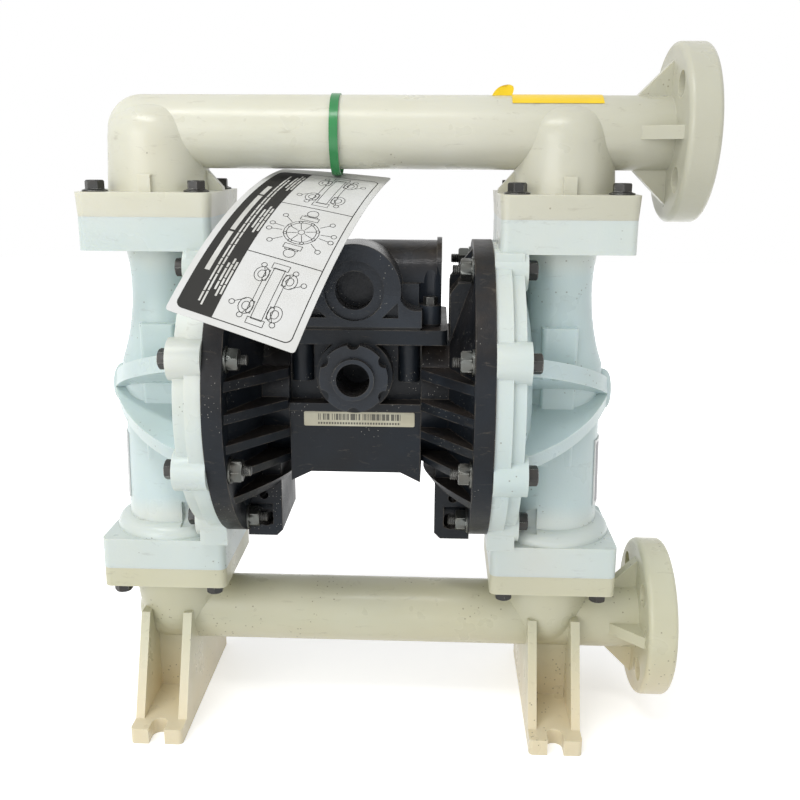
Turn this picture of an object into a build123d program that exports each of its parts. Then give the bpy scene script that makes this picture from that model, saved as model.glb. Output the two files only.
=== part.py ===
"""Air operated double diaphragm pump with one-inch plastic manifolds.

Millimetres. X runs along the diaphragm shaft, Z is up and -Y is the side of the air inlet.
The origin lies on the floor, midway between the two feet.
"""

import os
from math import cos, radians, sin, sqrt

from build123d import *

os.makedirs("parts", exist_ok=True)

# Layout
duct_offset = 131.5  # from the mid-plane to the axis of each liquid chamber's ducts
inlet_height = 70.0  # inlet pipe's axis over the floor
inlet_joint_rise = 46.5  # inlet pipe's axis to its square joints
shaft_rise = 120.5  # inlet joints to the shaft axis
outlet_joint_rise = 115.0  # shaft axis to the outlet joints
outlet_pipe_rise = 52.0  # outlet joints to the outlet pipe's axis

# Pipes and their round end flanges
pipe_radius = 23.0
pipe_bore_radius = 13.0
pipe_end_reach = 8.0  # the closed end's centre lies this far beyond the duct axis
end_flange_back = 195.5
end_flange_thickness = 20.0
end_flange_radius = 55.0
end_flange_bolt_circle_radius = 39.7
end_flange_hole_radius = 7.95
end_rib_length = 21.0
end_rib_height = 21.5
rib_thickness = 8.0
flange_edge_round = 3.5

# Square port flanges between manifolds and liquid chambers
port_flange_width = 84.0
port_flange_round = 5.0
outlet_flange_thickness = 15.0
inlet_flange_thickness = 13.3
cover_flange_thickness = 21.0
port_bolt_offset = 32.0
gusset_thickness = 7.0
riser_pad_width = 8.0
riser_pad_height = 10.5
riser_pad_reach = 2.5  # in front of the riser
outlet_flange_taper = 4.0  # degrees of draft

# Risers that rise or drop from the square flanges to the pipes
riser_foot_radius = 33.0
riser_neck_radius = 31.2
riser_dome_rise = 25.5
riser_shoulder_drop = 7.0  # pipe's axis to the foot of the dome
riser_bowl_depth = 52.0

# Ball checks
ball_radius = 15.0
ball_lift = 8.0
ball_gap = 0.3
seat_bore_radius = 12.0
seat_radius = 24.0
seat_thickness = 9.0
seat_clearance = 0.3
cage_radius = 20.0
cage_guide_gap = 0.6
cage_guide_thickness = 4.0
cage_exit_radius = 12.5
seal_ring_radius = 28.0
seal_ring_section = 2.8
seal_groove_clearance = 0.3

# Feet
foot_inner = 117.5
foot_outer = 153.0
foot_half_depth = 70.0
foot_plate_thickness = 11.0
foot_fin_thickness = 6.0
foot_fin_half_depth = 57.0
foot_fin_top_half_depth = 30.0
foot_fin_top = 78.0
foot_core_half_depth = 13.0
foot_slot_width = 11.0
foot_slot_depth = 14.0

# Liquid chambers
seal_plane = 86.4  # joint between air cover and fluid cover
ring_radius = 98.0
ring_step = 96.5
ring_step_radius = 94.5
ring_face = 104.5
boss_radius = 13.0
boss_face = 107.2
dome_base_radius = 76.0
dome_face = 113.0
dome_face_radius = 36.0
dome_shoulder = (110.5, 58.0)  # point on the dome's curve: along the shaft, radius
chamber_radius = 76.0
chamber_face = 107.5
chamber_shoulder = (101.0, 60.0)
duct_radius = 24.4
duct_waist_radius = 22.0
duct_waist_rise = 68.0  # over the shaft axis
duct_base_radius = 31.0
duct_base_rise = 18.0
duct_bore_radius = 14.0
lower_duct_radius = 32.5
lower_duct_round = 9.0
hub_radius = 14.0
hub_face = 168.5
hub_round = 5.0
star_rib_thickness = 11.0
star_rib_setback = 1.5  # rib ends behind the hub's face
star_rib_seat = 10.0  # ribs start this far inside the bolt circle
star_rib_bulge = 8.0
panel_inner = 119.0
panel_outer = 142.0
panel_half_depth = 31.0
panel_half_height = 46.0
ring_pad_half_width = 46.0

# Bolting ring of the covers
cover_bolt_count = 8
cover_bolt_circle_radius = 90.5
cover_bolt_radius = 3.2
cover_bolt_clearance = 0.3
cover_head_flats = 11.1
cover_head_height = 6.6
cover_nut_flats = 12.7
washer_radius = 8.2
washer_thickness = 1.4
nut_height = 7.0
nut_clearance = 0.1
spot_face_clearance = 0.6
stud_end = 5.0

# Air covers (black finned discs)
disc_radius = 99.5
disc_back = 74.0
air_hub_radius = 48.0
body_half_length = 42.0
cone_wall_radius = 84.0
cone_wall_start = 59.5
dish_floor = 65.0
dish_floor_radius = 45.0
dish_rim_radius = 76.0
fin_thickness = 6.0
fin_pitch = 19.5
fin_rim_radius = 94.0
fin_hub_radius = 54.0
strut_thickness = 6.0
strut_spacing = 30.0
leg_inner = 51.5
leg_half_depth = 30.0
leg_bottom_drop = 99.0  # heights marked drop or rise count from the shaft axis
leg_top_drop = 45.0
leg_hole_radius = 5.0
leg_hole_drop = 87.0

# Centre body
body_half_depth = 46.0
body_recess_half_depth = 38.0
body_bottom_drop = 47.0
body_bottom_flat = 29.0
body_bottom_edge_drop = 53.5
ledge_drop = 5.5
ledge_half_depth = 50.0
plate_rise = 38.0
plate_thickness = 9.5
plate_half_length = 58.0
plate_half_depth = 50.0
plate_round = 4.0
column_radius = 7.0
column_offset = 34.0
column_rise = 13.0
air_inlet_rise = 18.0
inlet_boss_radius = 24.0
inlet_boss_face = 50.0

# Air inlet bushing with its lugged ring
bushing_flange_radius = 21.5
bushing_neck_radius = 16.0
bushing_face = 63.0
bushing_flange_thickness = 9.0
bushing_thread_radius = 10.4
bushing_collar_radius = 13.2
bushing_lug_count = 6
insert_clearance = 0.2
bushing_notch_radius = 4.0

# Air valve
valve_gasket_thickness = 1.5
gasket_margin = 0.8
valve_axis_rise = 74.0
valve_barrel_radius = 25.0
valve_half_length = 54.0
valve_skirt_half_depth = 30.0
valve_rim_radius = 27.0
valve_rim_length = 3.2
valve_bell_face = 50.0
valve_bell_top_radius = 29.0
valve_bell_half_width = 42.0
valve_bell_foot = 11.0
exhaust_rise = 71.5
exhaust_recess_radius = 18.5
exhaust_recess_depth = 3.0
exhaust_thread_radius = 12.0
exhaust_thread_length = 17.0
valve_bolt_offset_x = 47.0
valve_bolt_offset_y = 31.0
valve_lug_radius = 7.0
valve_lug_height = 12.0
valve_screw_radius = 2.5
valve_screw_flats = 8.0
valve_screw_head = 5.0
spool_bore_radius = 9.1
spool_radius = 8.9
spool_seal_radius = 9.05
spool_waist_radius = 6.0
spool_half_length = 36.0
spool_land = 7.0
spool_lands = 4
spool_seal_width = 2.0
spool_seal_inner = 7.6
valve_bell_back = 12.0
cap_radius = 14.0
cap_clearance = 0.1
cap_thickness = 5.5
cap_seat_depth = 8.5
ring_groove_radius = 15.0
ring_thickness = 1.4

# Diaphragm rod
shaft_radius = 8.0
shaft_clearance = 0.05
bearing_radius = 11.0
bearing_start = 48.0
seal_length = 4.5
diaphragm_thickness = 4.0
diaphragm_bead_radius = 76.0
diaphragm_bead_width = 8.0
diaphragm_roll_start = 43.0
diaphragm_roll_height = 8.0
bead_clearance = 0.4
air_plate_radius = 40.0
air_plate_thickness = 7.0
fluid_plate_radius = 39.0
fluid_plate_thickness = 8.0
shaft_bolt_radius = 5.0
shaft_bolt_flats = 17.0
shaft_bolt_head = 6.0
shaft_bolt_grip = 20.0
stroke = 9.0  # each way from the middle

# Pilot pins, pushed by the air side plates near the end of each stroke
pilot_height = 26.0  # over the shaft axis
pilot_radius = 3.0
pilot_clearance = 0.05
pilot_bushing_radius = 6.0
pilot_ratio = 0.2
pilot_inner_end = 30.0
pilot_run = 4.0

# Labels, badges and the strap
skin_gap = 0.1  # between a round surface and what is wrapped round it
label_left = -33.0
label_right = 38.0
label_bottom_drop = 16.0
label_top_drop = 6.5
label_thickness = 0.3
badge_gap = 12.5  # over the flare of the lower duct
badge_height = 46.0
badge_angle = 62.0
badge_thickness = 0.8
strap_x = -14.5
strap_width = 5.5
strap_thickness = 0.8
strap_sag = 3.3  # slack of the loop under the pipe
sticker_start = 96.0
sticker_end = 152.5
sticker_low = 17.4  # lower edge over the pipe axis
sticker_thickness = 0.3

# Paper tag: a curved card that hangs down and forwards from the strap
tag_width = 76.0
tag_length = 168.0
tag_thickness = 0.6
tag_bend_radius = 204.0
tag_corner = (-98.2, -118.5)  # lower left corner in plan view
tag_corner_drop = 97.0  # below the outlet pipe's axis
tag_corner_angle = 50.7
tag_turn = 21.3
tag_yaw = 6.7

# Manifold screws
port_screw_radius = 3.0
port_screw_clearance = 0.3
port_thread_clearance = 0.05
port_head_flats = 10.5
port_head_height = 7.0
port_head_flange_radius = 8.0
port_head_flange_thickness = 1.4
port_screw_grip = 16.0

# Worked out from the sizes above
inlet_joint_height = inlet_height + inlet_joint_rise
shaft_height = inlet_joint_height + shaft_rise
outlet_joint_height = shaft_height + outlet_joint_rise
outlet_height = outlet_joint_height + outlet_pipe_rise
leg_bottom = shaft_height - leg_bottom_drop
leg_top = shaft_height - leg_top_drop
leg_hole_height = shaft_height - leg_hole_drop
body_bottom = shaft_height - body_bottom_drop
body_bottom_edge = shaft_height - body_bottom_edge_drop
ledge_bottom = shaft_height - ledge_drop
ledge_top = shaft_height
plate_bottom = shaft_height + plate_rise
column_bottom = shaft_height + column_rise
inlet_center_height = shaft_height + air_inlet_rise
valve_axis_height = shaft_height + valve_axis_rise
exhaust_height = shaft_height + exhaust_rise
label_bottom = shaft_height - label_bottom_drop
label_top = shaft_height - label_top_drop
flange_top = outlet_joint_height + outlet_flange_thickness
flange_bottom = inlet_joint_height - inlet_flange_thickness
riser_shoulder = outlet_height - riser_shoulder_drop
pipe_start = -duct_offset - pipe_end_reach
end_flange_face = end_flange_back + end_flange_thickness
ball_rise = sqrt(ball_radius**2 - seat_bore_radius**2) + ball_gap
cage_height = ball_rise + ball_lift + ball_gap + sqrt(ball_radius**2 - cage_exit_radius**2)
seat_pocket_radius = seat_radius + seat_clearance
port_hole_radius = port_screw_radius + port_screw_clearance
valve_base = plate_bottom + plate_thickness + valve_gasket_thickness
pilot_axis_height = shaft_height + pilot_height
diaphragm_inner = seal_plane - diaphragm_thickness / 2
diaphragm_outer = seal_plane + diaphragm_thickness / 2
air_plate_face = diaphragm_inner - air_plate_thickness
fluid_plate_face = diaphragm_outer + fluid_plate_thickness
cover_flange_bottom = outlet_joint_height - cover_flange_thickness
cover_flange_top = inlet_joint_height + cover_flange_thickness
port_thread_radius = port_screw_radius + port_thread_clearance
port_thread_depth = port_screw_grip + 1.5
bead_pocket_radius = diaphragm_bead_radius + diaphragm_bead_width / 2 + bead_clearance
bushing_neck_length = inlet_boss_face - body_recess_half_depth + 14
star_rib_angles = [180 / cover_bolt_count * k for k in (1, -1)]
star_rib_angles += [180 + angle for angle in star_rib_angles]
rib_end = hub_face - star_rib_setback
rib_start_radius = cover_bolt_circle_radius - star_rib_seat
fin_steps = range(-3, 2)
shaft_bolt_hole = shaft_bolt_radius + shaft_clearance
cap_start = valve_half_length - cap_seat_depth
ring_start = cap_start + cap_thickness
duct_taper_start = cover_flange_top + lower_duct_round
badge_bottom = duct_taper_start + badge_gap
badge_top = badge_bottom + badge_height
pilot_outer_end = air_plate_face - stroke + pilot_ratio * stroke - ball_gap

shaft_axis = Axis((0, 0, shaft_height), (1, 0, 0))
front_plane = Plane(origin=(0, 0, 0), x_dir=(1, 0, 0), z_dir=(0, -1, 0))
shaft_plane = front_plane.offset(0).shift_origin((0, 0, shaft_height))


def along_x(x, height=shaft_height, depth=0.0):
    """Plane at x, facing +X, with its local x along +Y and its local y along +Z."""
    return Plane(origin=(x, depth, height), x_dir=(0, 1, 0), z_dir=(1, 0, 0))


def vertical_axis(x):
    return Axis((x, 0, 0), (0, 0, 1))


def end_flange(height):
    """Round pipe flange with four tapered ribs; adds itself to the manifold being built."""
    pipe_plane = Plane(origin=(0, 0, height), x_dir=(1, 0, 0), z_dir=(0, -1, 0))
    straight = end_flange_radius - flange_edge_round
    with BuildSketch(pipe_plane) as rim:
        with BuildLine():
            Line((end_flange_back, 0), (end_flange_back, straight))
            RadiusArc(
                (end_flange_back, straight),
                (end_flange_back + flange_edge_round, end_flange_radius),
                flange_edge_round
            )
            Line(
                (end_flange_back + flange_edge_round, end_flange_radius),
                (end_flange_face - flange_edge_round, end_flange_radius),
            )
            RadiusArc(
                (end_flange_face - flange_edge_round, end_flange_radius),
                (end_flange_face, straight),
                flange_edge_round
            )
            Polyline((end_flange_face, straight), (end_flange_face, 0), (end_flange_back, 0))
        make_face()
    revolve(rim.sketch, axis=Axis((0, 0, height), (1, 0, 0)))
    rib_start = end_flange_back - end_rib_length
    rib_reach = pipe_radius + end_rib_height
    rib_outline = [
        (rib_start, pipe_radius - 0.5),
        (end_flange_back + 1, rib_reach),
        (end_flange_back + 1, -rib_reach),
        (rib_start, -pipe_radius + 0.5),
    ]
    for plane in (pipe_plane, Plane.XY.offset(height)):
        with BuildSketch(plane) as ribs:
            with BuildLine():
                Polyline(*rib_outline, close=True)
            make_face()
        extrude(ribs.sketch, amount=rib_thickness / 2, both=True)


def end_flange_holes(height):
    with BuildSketch(along_x(end_flange_back, height)) as holes:
        with PolarLocations(end_flange_bolt_circle_radius, 4, start_angle=45):
            Circle(end_flange_hole_radius)
    extrude(holes.sketch, amount=end_flange_thickness, mode=Mode.SUBTRACT)


def port_flange(x, height, thickness, taper=0.0):
    """Square flange with rounded corners, growing up from height."""
    with BuildSketch(Plane.XY.offset(height)) as square:
        with Locations((x, 0)):
            RectangleRounded(port_flange_width, port_flange_width, port_flange_round)
    extrude(square.sketch, amount=thickness, taper=taper)


def cut_round(x, height, radius, depth):
    """Round vertical cut on a duct axis; a negative depth cuts downwards."""
    with BuildSketch(Plane.XY.offset(height)) as circle:
        with Locations((x, 0)):
            Circle(radius)
    extrude(circle.sketch, amount=depth, mode=Mode.SUBTRACT)


def port_bolt_holes(x, height, radius, depth):
    with BuildSketch(Plane.XY.offset(height)) as holes:
        with Locations((x, 0)):
            with GridLocations(2 * port_bolt_offset, 2 * port_bolt_offset, 2, 2):
                Circle(radius)
    extrude(holes.sketch, amount=depth, mode=Mode.SUBTRACT)


def ball_cage(x, bottom):
    """Cuts a ball cage whose four guides keep the ball on the axis."""
    guide_depth = cage_radius - ball_radius - cage_guide_gap
    with BuildSketch(Plane.XY.offset(bottom)) as cage:
        with Locations((x, 0)):
            Circle(cage_radius)
            with PolarLocations(cage_radius, 4, start_angle=45):
                Rectangle(2 * guide_depth, cage_guide_thickness, mode=Mode.SUBTRACT)
    extrude(cage.sketch, amount=cage_height, mode=Mode.SUBTRACT)


def seal_groove(x, height, depth):
    """Square groove for a port seal in a flange face; a negative depth cuts downwards."""
    half_width = seal_ring_section / 2 + seal_groove_clearance
    with BuildSketch(Plane.XY.offset(height)) as groove:
        with Locations((x, 0)):
            Circle(seal_ring_radius + half_width)
            Circle(seal_ring_radius - half_width, mode=Mode.SUBTRACT)
    extrude(groove.sketch, amount=depth, mode=Mode.SUBTRACT)


# Outlet manifold
with BuildPart() as outlet_manifold:
    with BuildSketch(along_x(pipe_start, outlet_height)):
        Circle(pipe_radius)
    extrude(amount=end_flange_back - pipe_start)
    with Locations((pipe_start, 0, outlet_height)):
        Sphere(pipe_radius)
    for side in (-1, 1):
        riser_x = side * duct_offset
        with BuildSketch(front_plane):
            with BuildLine():
                Line((riser_x, flange_top - 1), (riser_x + riser_foot_radius, flange_top - 1))
                Line(
                    (riser_x + riser_foot_radius, flange_top - 1),
                    (riser_x + riser_neck_radius, riser_shoulder)
                )
                Spline(
                    (riser_x + riser_neck_radius, riser_shoulder),
                    (riser_x, riser_shoulder + riser_dome_rise),
                    tangents=[(0, 1), (-1, 0)],
                )
                Line((riser_x, riser_shoulder + riser_dome_rise), (riser_x, flange_top - 1))
            make_face()
        revolve(axis=vertical_axis(riser_x))
        port_flange(riser_x, outlet_joint_height, outlet_flange_thickness, -outlet_flange_taper)
        # Small pad at the foot of the riser
        with BuildSketch(Plane.XY.offset(flange_top - 1)):
            with Locations((riser_x, (riser_pad_reach - riser_foot_radius) / 2 - riser_pad_reach)):
                Rectangle(riser_pad_width, riser_foot_radius + riser_pad_reach)
        extrude(amount=riser_pad_height + 1)
        flange_edge = side * (duct_offset - port_flange_width / 2)
        with BuildSketch(front_plane):
            with BuildLine():
                Polyline(
                    (flange_edge, flange_top - 1),
                    (flange_edge, flange_top + 2),
                    (riser_x - side * riser_neck_radius, outlet_height - pipe_radius),
                    (riser_x, outlet_height - pipe_radius),
                    (riser_x, flange_top - 1),
                    close=True,
                )
            make_face()
        extrude(amount=gusset_thickness / 2, both=True)
    end_flange(outlet_height)
    with BuildSketch(along_x(pipe_start, outlet_height)):
        Circle(pipe_bore_radius)
    extrude(amount=end_flange_face - pipe_start, mode=Mode.SUBTRACT)
    for side in (-1, 1):
        ball_cage(side * duct_offset, outlet_joint_height)
        cut_round(
            side * duct_offset, outlet_joint_height, cage_exit_radius, outlet_height - outlet_joint_height
        )
        port_bolt_holes(side * duct_offset, outlet_joint_height, port_hole_radius, outlet_flange_thickness)
    end_flange_holes(outlet_height)

# Inlet manifold with the two feet
with BuildPart() as inlet_manifold:
    with BuildSketch(along_x(pipe_start, inlet_height)):
        Circle(pipe_radius)
    extrude(amount=end_flange_back - pipe_start)
    with Locations((pipe_start, 0, inlet_height)):
        Sphere(pipe_radius)
    for side in (-1, 1):
        riser_x = side * duct_offset
        with BuildSketch(front_plane):
            with BuildLine():
                Line((riser_x, flange_bottom + 1), (riser_x, flange_bottom - riser_bowl_depth))
                Spline(
                    (riser_x, flange_bottom - riser_bowl_depth),
                    (riser_x + riser_neck_radius, flange_bottom),
                    tangents=[(1, 0), (0, 1)],
                )
                Line(
                    (riser_x + riser_neck_radius, flange_bottom),
                    (riser_x + riser_neck_radius, flange_bottom + 1)
                )
                Line((riser_x + riser_neck_radius, flange_bottom + 1), (riser_x, flange_bottom + 1))
            make_face()
        revolve(axis=vertical_axis(riser_x))
        port_flange(riser_x, flange_bottom, inlet_flange_thickness)
        # Foot plate, its two side fins and the core between them
        foot_x = side * (foot_inner + foot_outer) / 2
        foot_width = foot_outer - foot_inner
        with BuildSketch():
            with Locations((foot_x, 0)):
                RectangleRounded(foot_width, 2 * foot_half_depth, 3)
            for end in (-1, 1):
                slot_center = end * (foot_half_depth - foot_slot_depth + foot_slot_width / 2)
                with Locations((foot_x, slot_center)):
                    Circle(foot_slot_width / 2, mode=Mode.SUBTRACT)
                with Locations((foot_x, slot_center + end * foot_slot_depth / 2)):
                    Rectangle(foot_slot_width, foot_slot_depth, mode=Mode.SUBTRACT)
        extrude(amount=foot_plate_thickness)
        for fin_x in (foot_inner + foot_fin_thickness / 2, foot_outer - foot_fin_thickness / 2):
            with BuildSketch(along_x(side * fin_x, 0)):
                with BuildLine():
                    Polyline(
                        (-foot_fin_half_depth, 0),
                        (foot_fin_half_depth, 0),
                        (foot_fin_half_depth, foot_plate_thickness),
                        (foot_fin_top_half_depth, foot_fin_top),
                        (-foot_fin_top_half_depth, foot_fin_top),
                        (-foot_fin_half_depth, foot_plate_thickness),
                        close=True,
                    )
                make_face()
            extrude(amount=foot_fin_thickness / 2, both=True)
        with BuildSketch():
            with Locations((foot_x, 0)):
                Rectangle(foot_width - foot_fin_thickness, 2 * foot_core_half_depth)
        extrude(amount=inlet_height)
    end_flange(inlet_height)
    with BuildSketch(along_x(pipe_start, inlet_height)):
        Circle(pipe_bore_radius)
    extrude(amount=end_flange_face - pipe_start, mode=Mode.SUBTRACT)
    for side in (-1, 1):
        cut_round(side * duct_offset, inlet_joint_height, seat_pocket_radius, -seat_thickness)
        cut_round(
            side * duct_offset, inlet_joint_height, cage_exit_radius, inlet_height - inlet_joint_height
        )
        seal_groove(side * duct_offset, inlet_joint_height, -seal_ring_section)
        port_bolt_holes(side * duct_offset, flange_bottom, port_hole_radius, inlet_flange_thickness)
    end_flange_holes(inlet_height)


def polygon_on(plane, points):
    """Closed outline of straight lines on a plane, as a sketch."""
    with BuildSketch(plane) as outline:
        with BuildLine():
            Polyline(*points, close=True)
        make_face()
    return outline.sketch


def ring_of_bolts(plane, radius):
    """Holes on the covers' bolt circle, as a sketch."""
    with BuildSketch(plane) as holes:
        with PolarLocations(cover_bolt_circle_radius, cover_bolt_count, start_angle=180 / cover_bolt_count):
            Circle(radius)
    return holes.sketch


# Right fluid cover: the liquid chamber with its two ducts
with BuildPart() as fluid_cover_right:
    # Stepped bolting ring and domed chamber wall, turned about the shaft axis
    with BuildSketch(shaft_plane):
        with BuildLine():
            Polyline(
                (seal_plane, 0),
                (seal_plane, ring_radius),
                (ring_step, ring_radius),
                (ring_step, ring_step_radius),
                (ring_face, ring_step_radius),
                (ring_face, dome_base_radius),
            )
            ThreePointArc((ring_face, dome_base_radius), dome_shoulder, (dome_face, dome_face_radius))
            Polyline((dome_face, dome_face_radius), (dome_face, 0), (seal_plane, 0))
        make_face()
    revolve(axis=shaft_axis)
    # Bolt bosses
    extrude(ring_of_bolts(along_x(seal_plane), boss_radius), amount=boss_face - seal_plane)
    # Upper duct with its waist
    with BuildSketch(front_plane):
        with BuildLine():
            Line((duct_offset, shaft_height), (duct_offset + duct_base_radius, shaft_height))
            Line(
                (duct_offset + duct_base_radius, shaft_height),
                (duct_offset + duct_base_radius, shaft_height + duct_base_rise),
            )
            ThreePointArc(
                (duct_offset + duct_base_radius, shaft_height + duct_base_rise),
                (duct_offset + duct_waist_radius, shaft_height + duct_waist_rise),
                (duct_offset + duct_radius, cover_flange_bottom + 1),
            )
            Line(
                (duct_offset + duct_radius, cover_flange_bottom + 1), (duct_offset, cover_flange_bottom + 1)
            )
            Line((duct_offset, cover_flange_bottom + 1), (duct_offset, shaft_height))
        make_face()
    revolve(axis=vertical_axis(duct_offset))
    # Lower duct, flared into its flange
    with BuildSketch(front_plane):
        with BuildLine():
            Line((duct_offset, shaft_height), (duct_offset + lower_duct_radius - 2, shaft_height))
            Line(
                (duct_offset + lower_duct_radius - 2, shaft_height),
                (duct_offset + lower_duct_radius, cover_flange_top + lower_duct_round),
            )
            RadiusArc(
                (duct_offset + lower_duct_radius, cover_flange_top + lower_duct_round),
                (duct_offset + lower_duct_radius + lower_duct_round, cover_flange_top),
                lower_duct_round,
            )
            Line(
                (duct_offset + lower_duct_radius + lower_duct_round, cover_flange_top),
                (duct_offset + lower_duct_radius + lower_duct_round, cover_flange_top - 1),
            )
            Line(
                (duct_offset + lower_duct_radius + lower_duct_round, cover_flange_top - 1),
                (duct_offset, cover_flange_top - 1),
            )
            Line((duct_offset, cover_flange_top - 1), (duct_offset, shaft_height))
        make_face()
    revolve(axis=vertical_axis(duct_offset))
    port_flange(duct_offset, cover_flange_bottom, cover_flange_thickness)
    port_flange(duct_offset, inlet_joint_height, cover_flange_thickness)
    # Hub at the outer end, with ribs that run out to the four side bosses
    with BuildSketch(shaft_plane):
        with BuildLine():
            Polyline((duct_offset, 0), (duct_offset, hub_radius), (hub_face - hub_round, hub_radius))
            RadiusArc(
                (hub_face - hub_round, hub_radius), (hub_face, hub_radius - hub_round), hub_round
            )
            Polyline((hub_face, hub_radius - hub_round), (hub_face, 0), (duct_offset, 0))
        make_face()
    revolve(axis=shaft_axis)
    for angle in star_rib_angles:
        rib_plane = Plane(
            origin=(0, 0, shaft_height),
            x_dir=(1, 0, 0),
            z_dir=(0, -sin(radians(angle)), cos(radians(angle))),
        )
        with BuildSketch(rib_plane):
            with BuildLine():
                Line((rib_end, 0), (rib_end, hub_radius - hub_round))
                ThreePointArc(
                    (rib_end, hub_radius - hub_round),
                    ((rib_end + boss_face) / 2 + star_rib_bulge, rib_start_radius / 2 + star_rib_bulge),
                    (boss_face - 1, rib_start_radius),
                )
                Polyline(
                    (boss_face - 1, rib_start_radius), (ring_step, rib_start_radius), (ring_step, 0), (rib_end, 0)
                )
            make_face()
        extrude(amount=star_rib_thickness / 2, both=True)
    # Flat-fronted core in front of and behind the dome
    with BuildSketch(Plane.XY.offset(shaft_height)):
        with Locations(((panel_inner + panel_outer) / 2, 0)):
            RectangleRounded(panel_outer - panel_inner, 2 * panel_half_depth, 2.5)
    extrude(amount=panel_half_height, both=True)
    # Pads that tie the ring to the square flanges
    for low, high in (
        (shaft_height + dome_base_radius - 8, cover_flange_bottom + 1),
        (cover_flange_top - 1, shaft_height - dome_base_radius + 8),
    ):
        with BuildSketch(along_x(seal_plane)):
            with Locations((0, (low + high) / 2 - shaft_height)):
                Rectangle(2 * ring_pad_half_width, high - low)
        extrude(amount=ring_face - seal_plane)
    # Chamber, bead pocket and ducts
    with BuildSketch(shaft_plane):
        with BuildLine():
            Line((seal_plane, 0), (seal_plane, bead_pocket_radius))
            Line((seal_plane, bead_pocket_radius), (diaphragm_outer, bead_pocket_radius))
            Line((diaphragm_outer, bead_pocket_radius), (diaphragm_outer, chamber_radius))
            ThreePointArc(
                (diaphragm_outer, chamber_radius), chamber_shoulder, (chamber_face, dome_face_radius)
            )
            Polyline((chamber_face, dome_face_radius), (chamber_face, 0), (seal_plane, 0))
        make_face()
    revolve(axis=shaft_axis, mode=Mode.SUBTRACT)
    with BuildSketch(along_x(chamber_face - 1)):
        Circle(duct_bore_radius)
    extrude(amount=duct_offset - chamber_face + 1, mode=Mode.SUBTRACT)
    cut_round(duct_offset, shaft_height, duct_bore_radius, outlet_joint_height - shaft_height)
    cut_round(duct_offset, shaft_height, duct_bore_radius, inlet_joint_height - shaft_height)
    cut_round(duct_offset, outlet_joint_height, seat_pocket_radius, -seat_thickness)
    ball_cage(duct_offset, inlet_joint_height)
    seal_groove(duct_offset, outlet_joint_height, -seal_ring_section)
    port_bolt_holes(duct_offset, outlet_joint_height, port_thread_radius, -port_thread_depth)
    port_bolt_holes(duct_offset, inlet_joint_height, port_thread_radius, port_thread_depth)
    extrude(
        ring_of_bolts(along_x(seal_plane), cover_bolt_radius + cover_bolt_clearance),
        amount=boss_face - seal_plane,
        mode=Mode.SUBTRACT,
    )
    # Spot faces for the bolt heads
    extrude(
        ring_of_bolts(along_x(boss_face), washer_radius + spot_face_clearance),
        amount=2 * cover_head_height,
        mode=Mode.SUBTRACT,
    )

with BuildPart() as fluid_cover_left:
    mirror(fluid_cover_right.part, about=Plane.YZ)

# Cooling fins and struts of an air cover: plates trimmed to a cone
with BuildPart() as fin_set:
    with BuildSketch(shaft_plane):
        with BuildLine():
            Polyline(
                (body_half_length, 0),
                (body_half_length, fin_hub_radius),
                (disc_back, fin_rim_radius),
                (seal_plane, fin_rim_radius),
                (seal_plane, 0),
                close=True,
            )
        make_face()
    revolve(axis=shaft_axis)
    with BuildSketch(Plane.YZ):
        for step in fin_steps:
            with Locations((0, shaft_height + step * fin_pitch)):
                Rectangle(2 * disc_radius, fin_thickness)
        for step in (-1, 0, 1):
            with Locations((step * strut_spacing, shaft_height + disc_radius)):
                Rectangle(strut_thickness, 2 * (disc_radius - fin_pitch))
    extrude(amount=seal_plane, mode=Mode.INTERSECT)

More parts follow.
